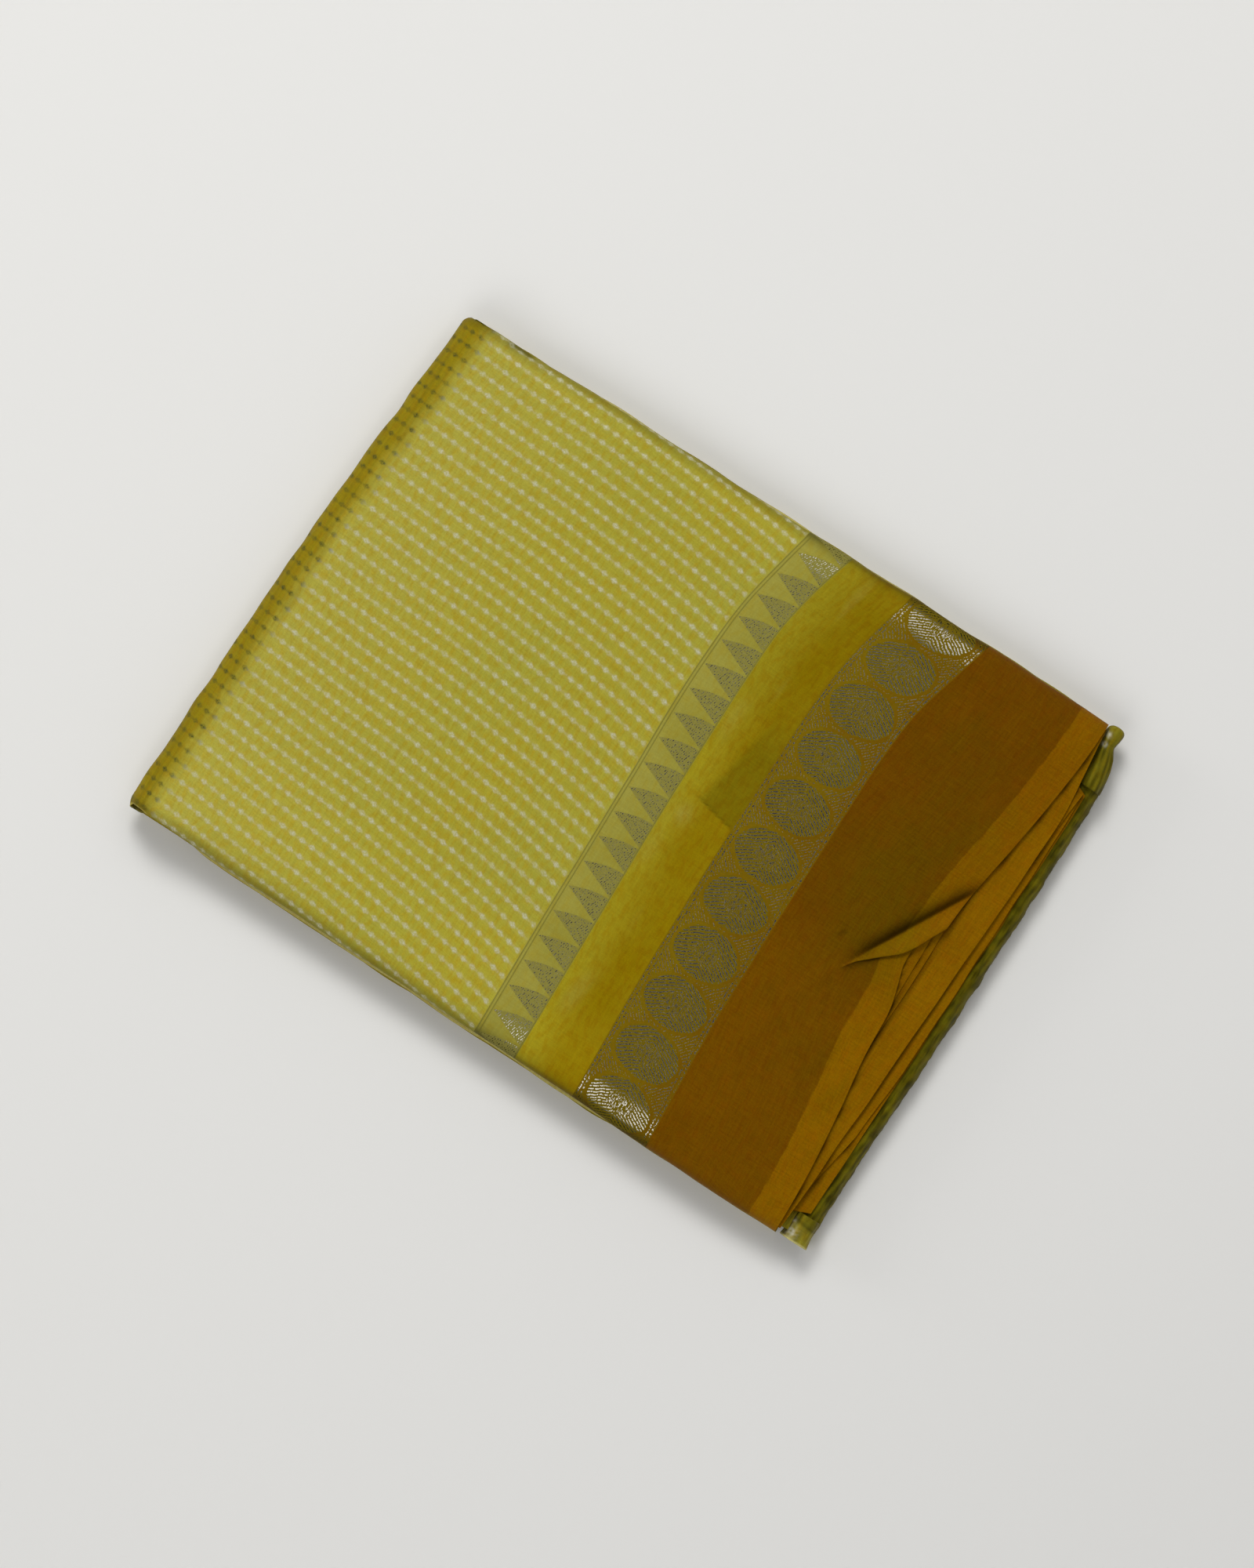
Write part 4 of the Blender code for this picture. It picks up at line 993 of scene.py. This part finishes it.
def endRings(shape):
    # Upright rounded ovals carried from one of the shape's knots to the next, with pleats that run the
    # length of the end; the near end's last knots lead back into its open mouth.
    along = shares(shape["rings"])
    knots = shares(len(shape["y"]))
    y, middle, height, wide, tall = (
        smoothCurve(knots, shape[name], along)[:, None] for name in ("y", "x", "z", "wide", "tall")
    )
    turn = np.linspace(0, 2 * math.pi, pleating["points"], endpoint=False)
    pleats = pleating["deep"]
    fluted = 1 + pleats * ripple(shape["seed"], 0.8, turn * 1.2, y * 0.03)
    fluted = fluted + 0.5 * pleats * ripple(shape["seed"] + 1, 0.5, turn, y * 0.08)
    across, up = (
        np.sign(part) * np.abs(part) ** pleating["square"] * fluted for part in (np.cos(turn), np.sin(turn))
    )
    return stacked(middle + wide * across, y, np.maximum(height + tall * up, pleating["least"])), turn


for name, shape in rollEnds.items():
    rings, turn = endRings(shape)
    x, y, z = np.moveaxis(rings, -1, 0)
    # each end is painted like the roll: a dark olive ground as painted shade, lighter strands as painted
    # light on its pleats, and lighter towards its tip
    strands = 0.5 + 0.55 * ripple(shape["seed"], 2.2, turn * 6, y * 0.12)
    wearAndGlint = (0.55 + 0.45 * ripple(shape["seed"] + 3, 2.4, x, y)) * (z > 12)
    # painted highlights: silver glints laid at the listed places, broken up by noise and kept above z = 12
    glints = [
        ("d6d6cc", wearAndGlint * bell((x - midX) / reach, (y - midY) / reach))
        for midX, midY, reach in shape["glints"]
    ]
    outward = ease((np.abs(y) - 134) / 8) * (0.4 + 0.6 * strands)
    paint = painted("4a4406", ("7a7016", strands), (shape["tone"], outward), *glints)
    if name == "near":
        # painted shade in the crease where it is gathered as it leaves the roll and from the leaves on its
        # left, and a painted highlight on its open rim
        gathered, shade = 0.45 * bell((y + 137.4 + 0.1 * (x - 190)) / 0.9), 0.6 * ease((187 - x) / 3)
        rim = 0.8 * ease((-146 - y) / 1.2) * (z > 6)
        paint = painted(paint, (None, gathered), (None, shade), ("c9c283", rim))
        paint[31:] *= 0.45  # painted shade on the rings inside the mouth
    addTube(
        "roll_end_" + name, rings, stacked(turn * 8 - 200, y), paint, "field", "fold_end_" + name,
        turned=np.ones(x.shape), bare=np.ones(x.shape),
    )

# The hidden leaves: their folded edges on the near and far sides, and the loose ends on the left

layers = {
    "count": 8, "profile": [0.02, 0.1, 0.25, 0.5, 0.75, 0.9, 0.98], "bulge": 2.2, "back": 22,
    "low": 0.06, "high": 0.94, "uneven": 0.5, "right": 178, "groove": 0.55, "least": 0.3,
    # for each side: where the left and right folds end, the insets of the layers in the left and right
    # folds, how far the middle third stands out, how far both lower thirds draw in at the right, and how
    # much of the right fold's radius they fill
    "near": {
        "left": -140, "right": -134, "leftIn": 8.5, "rightIn": 5.4, "proud": 4, "end": (3, 6), "fill": 1,
    },
    "far": {
        "left": 140, "right": 117, "leftIn": 3.2, "rightIn": 21.4, "proud": 3, "end": (22, 22), "fill": 0.94,
    },
}


def rollInset(x, z):
    # how far in from the side the top leaf's roll is at a height, from its superellipse
    depth, drop = rollSizes(x)[1:3]
    part = np.clip(1 + (z - topZ(x, 0 * x)) / drop, 0, 1) ** (roll["power"] / 2)
    return depth * (1 - np.cos(np.arcsin(part)) ** (2 / roll["power"]))


def layerPath(at, t):
    # The folded bundle's way from the selvedges to the left fold, back along the middle third, round the
    # right fold and back to the left. t is 0 to 1 from the leaf at the first two thirds' meeting to the
    # outermost. Gives x, z, the distance in from the side and the room behind.
    left, right = leftSide(at["left"]), rightSide(at["right"]) - rightRoll["radius"]
    middle, lower = stack["middle"], stack["lower"]
    start = left + fold["inset"][0]
    run = np.linspace(layers["right"], start, 96)[:, None]
    height = stack["top"] - middle - stack["thinning"] * ease((run - stack["thinFrom"]) / stack["thinOver"])
    z = middle + t * (height - 0.9)
    behind = 1 + 2.4 * (1 - ease((run - start) / 40))
    legs = [(run, z, np.maximum(behind, rollInset(run, z + 1) + 0.9), 2 + 20 * ease((126 - run) / 8))]
    depth, turned = foldPoint(np.linspace(0.02, 0.80, 24)[:, None])
    out = np.minimum(t, 0.94) * 0.97
    x = start - out * (fold["inset"][0] - depth)
    legs.append((x, middle + out * (turned - middle), at["leftIn"] + 0.6 * t, layers["back"]))
    run = np.linspace(left + 14, right, 96)[:, None]
    proud = ease((run - left - 20) / 30) * (1 - 0.55 * ease((run - 70) / 30)) * at["proud"]
    inset = 2.4 - proud + ease((run - 168) / 14) * at["end"][0]
    legs.append((run, middle - lower * t, inset, layers["back"]))
    turn = np.linspace(0, math.pi, 26)[1:-1, None]
    radius = lower * (0.9 - 0.885 * t) * at["fill"]
    legs.append((right + radius * np.sin(turn), lower + radius * np.cos(turn), at["rightIn"], layers["back"]))
    run = np.linspace(right, left + 9, 96)[:, None]
    inset = -0.8 + ease((run - 168) / 14) * at["end"][1] + 1.2 * ease((left + 40 - run) / 25)
    legs.append((run, 0.5 + lower * 0.96 * t, inset, layers["back"]))
    return [np.concatenate(part) for part in zip(*(np.broadcast_arrays(*leg, t)[:4] for leg in legs))]


def leafSteps(table):
    # The parts of a leaf's profile and the leaf's number, for each leaf, and their places from low to high.
    count, profile = table["count"], table["profile"]
    part, leaf = np.tile(profile, count), np.repeat(np.arange(count), len(profile))
    return part, leaf, table["low"] + (table["high"] - table["low"]) * (leaf + part) / count


def layerRings(side):
    # Each leaf's fold is a rounded ridge, half an oval in section, a little uneven along its way.
    part, leaf, t = leafSteps(layers)
    x, z, inset, back = layerPath(layers[side], t[None, :])
    station = np.arange(len(x)) * 4.0
    uneven = [ripple(130 + 7 * one + (side == "far"), 70, station) for one in range(layers["count"])]
    uneven = np.stack(uneven, axis=1)[:, leaf]
    ridge = np.sqrt(np.clip(1 - (2 * part - 1) ** 2, 0, 1))
    inset = inset - layers["bulge"] * (ridge - 1) + layers["uneven"] * uneven + 0.3
    edge, inward = (nearSide(x), 1) if side == "near" else (farSide(x), -1)
    front = stacked(x, edge + inward * inset, np.maximum(z + 0.12 * uneven, layers["least"]))
    # the backs of the thirds overlap a little, so that no light comes through between them
    rearX, rearZ = layerPath(layers[side], np.array([[1.01, -0.012]]))[:2]
    rearY = front[:, [-1, 0], 1] + inward * back[:, [-1, 0]]
    rear = stacked(rearX, rearY, np.maximum(rearZ, layers["least"]))
    return np.concatenate([front, rear], axis=1), ridge


def layerPaint(rings, ridge, side):
    # the same bands as the top leaf's in the top third, yellow in the other two, with painted shade in the
    # grooves
    x, z = rings[..., 0], rings[..., 2]
    ground = between("9c8f2a", "8a7d1c", ripple(141, 30, x, z * 6) * 0.5 + 0.5)
    tones = {"temple": "8f8a3a", "plain": "8f7c12", "medallion": "6e5514", "mustard": "70470a"}
    for edge, tone in tones.items():
        past = (x > bandEdge(edge, -147 if side == "near" else 147)) & (z > stack["middle"] - 0.2)
        ground = np.where(past[..., None], colour(tone), ground)
    # painted light on the pale ledge where the top and middle thirds meet, which lies in the roll's shade
    parting = (np.abs(z - stack["middle"]) < 0.9) & (x < 100)
    ground = np.where(parting[..., None], colour("cbc070"), ground)
    ridge = np.where(np.arange(len(ridge)) < 4, 1, ridge)
    depth = np.concatenate([ridge, [0, 0]])[:, None]
    return ground * (layers["groove"] + (1 - layers["groove"]) * depth)


for side in ("near", "far"):
    rings, ridge = layerRings(side)
    cloth = stacked(rings[..., 0], rings[..., 2] * 3)
    addTube("layers_" + side, rings, cloth, layerPaint(rings, ridge, side), "layers", "inner_layers")

looseEnds = {
    "count": 9, "low": 0.6, "high": 8.5, "inset": 6.8, "uneven": 0.9, "back": 16, "groove": 1.3, "corner": 4,
    "profile": [0.04, 0.2, 0.8, 0.96],
}


def looseRings():
    # The cut ends of the bottom third's leaves: thin steps, each end a little in or out of line, with the
    # near and far corners rounded as circles.
    part, leaf, z = leafSteps(looseEnds)
    y = np.linspace(nearSide(-185) + 1.5, farSide(-185) - 1.5, 120)[:, None]
    uneven = np.stack([ripple(150 + one, 80, y[:, 0]) for one in range(looseEnds["count"])], axis=1)
    outer = np.where((part > 0.1) & (part < 0.9), 0, looseEnds["groove"])
    corner = rounded(np.minimum(y - y[0], y[-1] - y), looseEnds["corner"])
    x = leftSide(y) + looseEnds["inset"] + outer + looseEnds["uneven"] * uneven[:, leaf] + corner
    front = stacked(x, y, z)
    return np.concatenate([front, front[:, [-1, 0]] + (looseEnds["back"], 0, 0)], axis=1), outer


rings, outer = looseRings()
x, y, z = np.moveaxis(rings, -1, 0)
# painted shade in the grooves between the cut ends
groove = 0.4 * (np.concatenate([outer, [1, 1]]) > 0)
paint = painted("8f8326", ("a39838", ripple(151, 40, y, z * 9) * 0.5 + 0.5), (None, groove))
addTube("loose_ends", rings, stacked(z * 3, y), paint, "layers", "inner_layers")

underLeaf = {"rise": 3.4, "inset": 6.5, "right": 181.2, "nearOut": 0.9, "farOut": 0.6}


def underLeafGrid():
    # The leaf that it rests on: flat, and turned up along the near and far sides in a quarter circle.
    turn = np.radians(np.linspace(82, 0, 10))
    turn = np.concatenate([turn[:-1], np.zeros(90), turn[-2::-1]])[:, None]
    inset, rise = underLeaf["rise"] * (1 - np.sin(turn)), underLeaf["rise"] * (1 - np.cos(turn))
    share = np.concatenate([np.zeros(9), shares(90), np.ones(9)])[:, None]
    u = shares(121)
    x = 0 * u
    for _ in range(3):
        near, far = nearSide(x) - underLeaf["nearOut"] + inset, farSide(x) + underLeaf["farOut"] - inset
        y = near + share * (far - near)
        x = underLeaf["right"] + u * (leftSide(y) + underLeaf["inset"] - underLeaf["right"])
    return stacked(x, y, rise)


grid = underLeafGrid()
x, y, z = np.moveaxis(grid, -1, 0)
paint = between("a8942a", "9b8c22", ripple(161, 60, x, y) * 0.5 + 0.5)
addSheet(
    "under_leaf_cloth", [(grid, stacked(x - 200, clothLength(grid, 0, 54, 0)), paint)], "field",
    "field_cloth", ["under_leaf"], [],
)

# Floor, light and camera

floor = {"half": 3, "tone": "efeeea", "rough": 0.7}
mesh = bpy.data.meshes.new("floor")
half = floor["half"]
mesh.from_pydata([(-half, -half, 0), (half, -half, 0), (half, half, 0), (-half, half, 0)], [], [(0, 1, 2, 3)])
paper = bpy.data.materials.new("matt paper backdrop")  # pale and dull, so that nothing mirrors in it
paper.use_nodes = True
surface = {"Base Color": opaque(floor["tone"]), "Roughness": floor["rough"]}
fill(paper.node_tree, paper.node_tree.nodes["Principled BSDF"], surface)
mesh.materials.append(paper)
ground = placed("floor", mesh)

studio = {  # soft boxes: azimuth from +x, height above the floor in degrees, distance, size and power
    "key": (128, 50, 4, 1.3, 68),
    "farPanel": (92, 60, 1.9, 1.25, 5.1),
    "nearPanel": (268, 58, 1.9, 1.25, 6.9),
    "leftRim": (184, 22, 1.9, 0.6, 4.5),
}
for name, (azimuth, elevation, distance, size, power) in studio.items():
    data = bpy.data.lights.new(name, "AREA")
    data.shape = "SQUARE"
    data.size = size
    data.energy = power
    lamp = placed(name, data)
    a, e = math.radians(azimuth), math.radians(elevation)
    away = (math.cos(e) * math.cos(a), math.cos(e) * math.sin(a), math.sin(e))
    lamp.location = [distance * part for part in away]
    lamp.rotation_euler = (math.pi / 2 - e, 0, a + math.pi / 2)

world = bpy.data.worlds.new("studio")
world.use_nodes = True
room = world.node_tree
add = functools.partial(addNode, room)
ceiling = {"from": (0.7, 0.97), "strength": (0.42, 0.035), "tone": "e8e8ea"}
# pale walls and a dark ceiling, so that the flat zari stays dull and only flashes where the cloth rolls over
height = add("SeparateXYZ", add("TexCoord"), out=2)
strength = add("MapRange", height, *ceiling["from"], *ceiling["strength"], **soft)
fill(room, room.nodes["Background"], {"Color": opaque(ceiling["tone"]), "Strength": strength})
bpy.context.scene.world = world
bpy.context.scene.view_settings.view_transform = "Standard"

camera = {"turn": 33.2, "centre": (0.7, -5.2), "height": 3500, "tall": 760, "sensor": 36, "reach": 20}
data = bpy.data.cameras.new("camera")
data.sensor_width = camera["sensor"]
data.lens = camera["sensor"] * camera["height"] / camera["tall"]
data.clip_end = camera["reach"]
eye = placed("camera", data)
eye.location = [part * mm for part in (*camera["centre"], camera["height"] + stack["top"])]
eye.rotation_euler = (0, 0, math.radians(camera["turn"]))
bpy.context.scene.camera = eye
print("floor, light and camera")
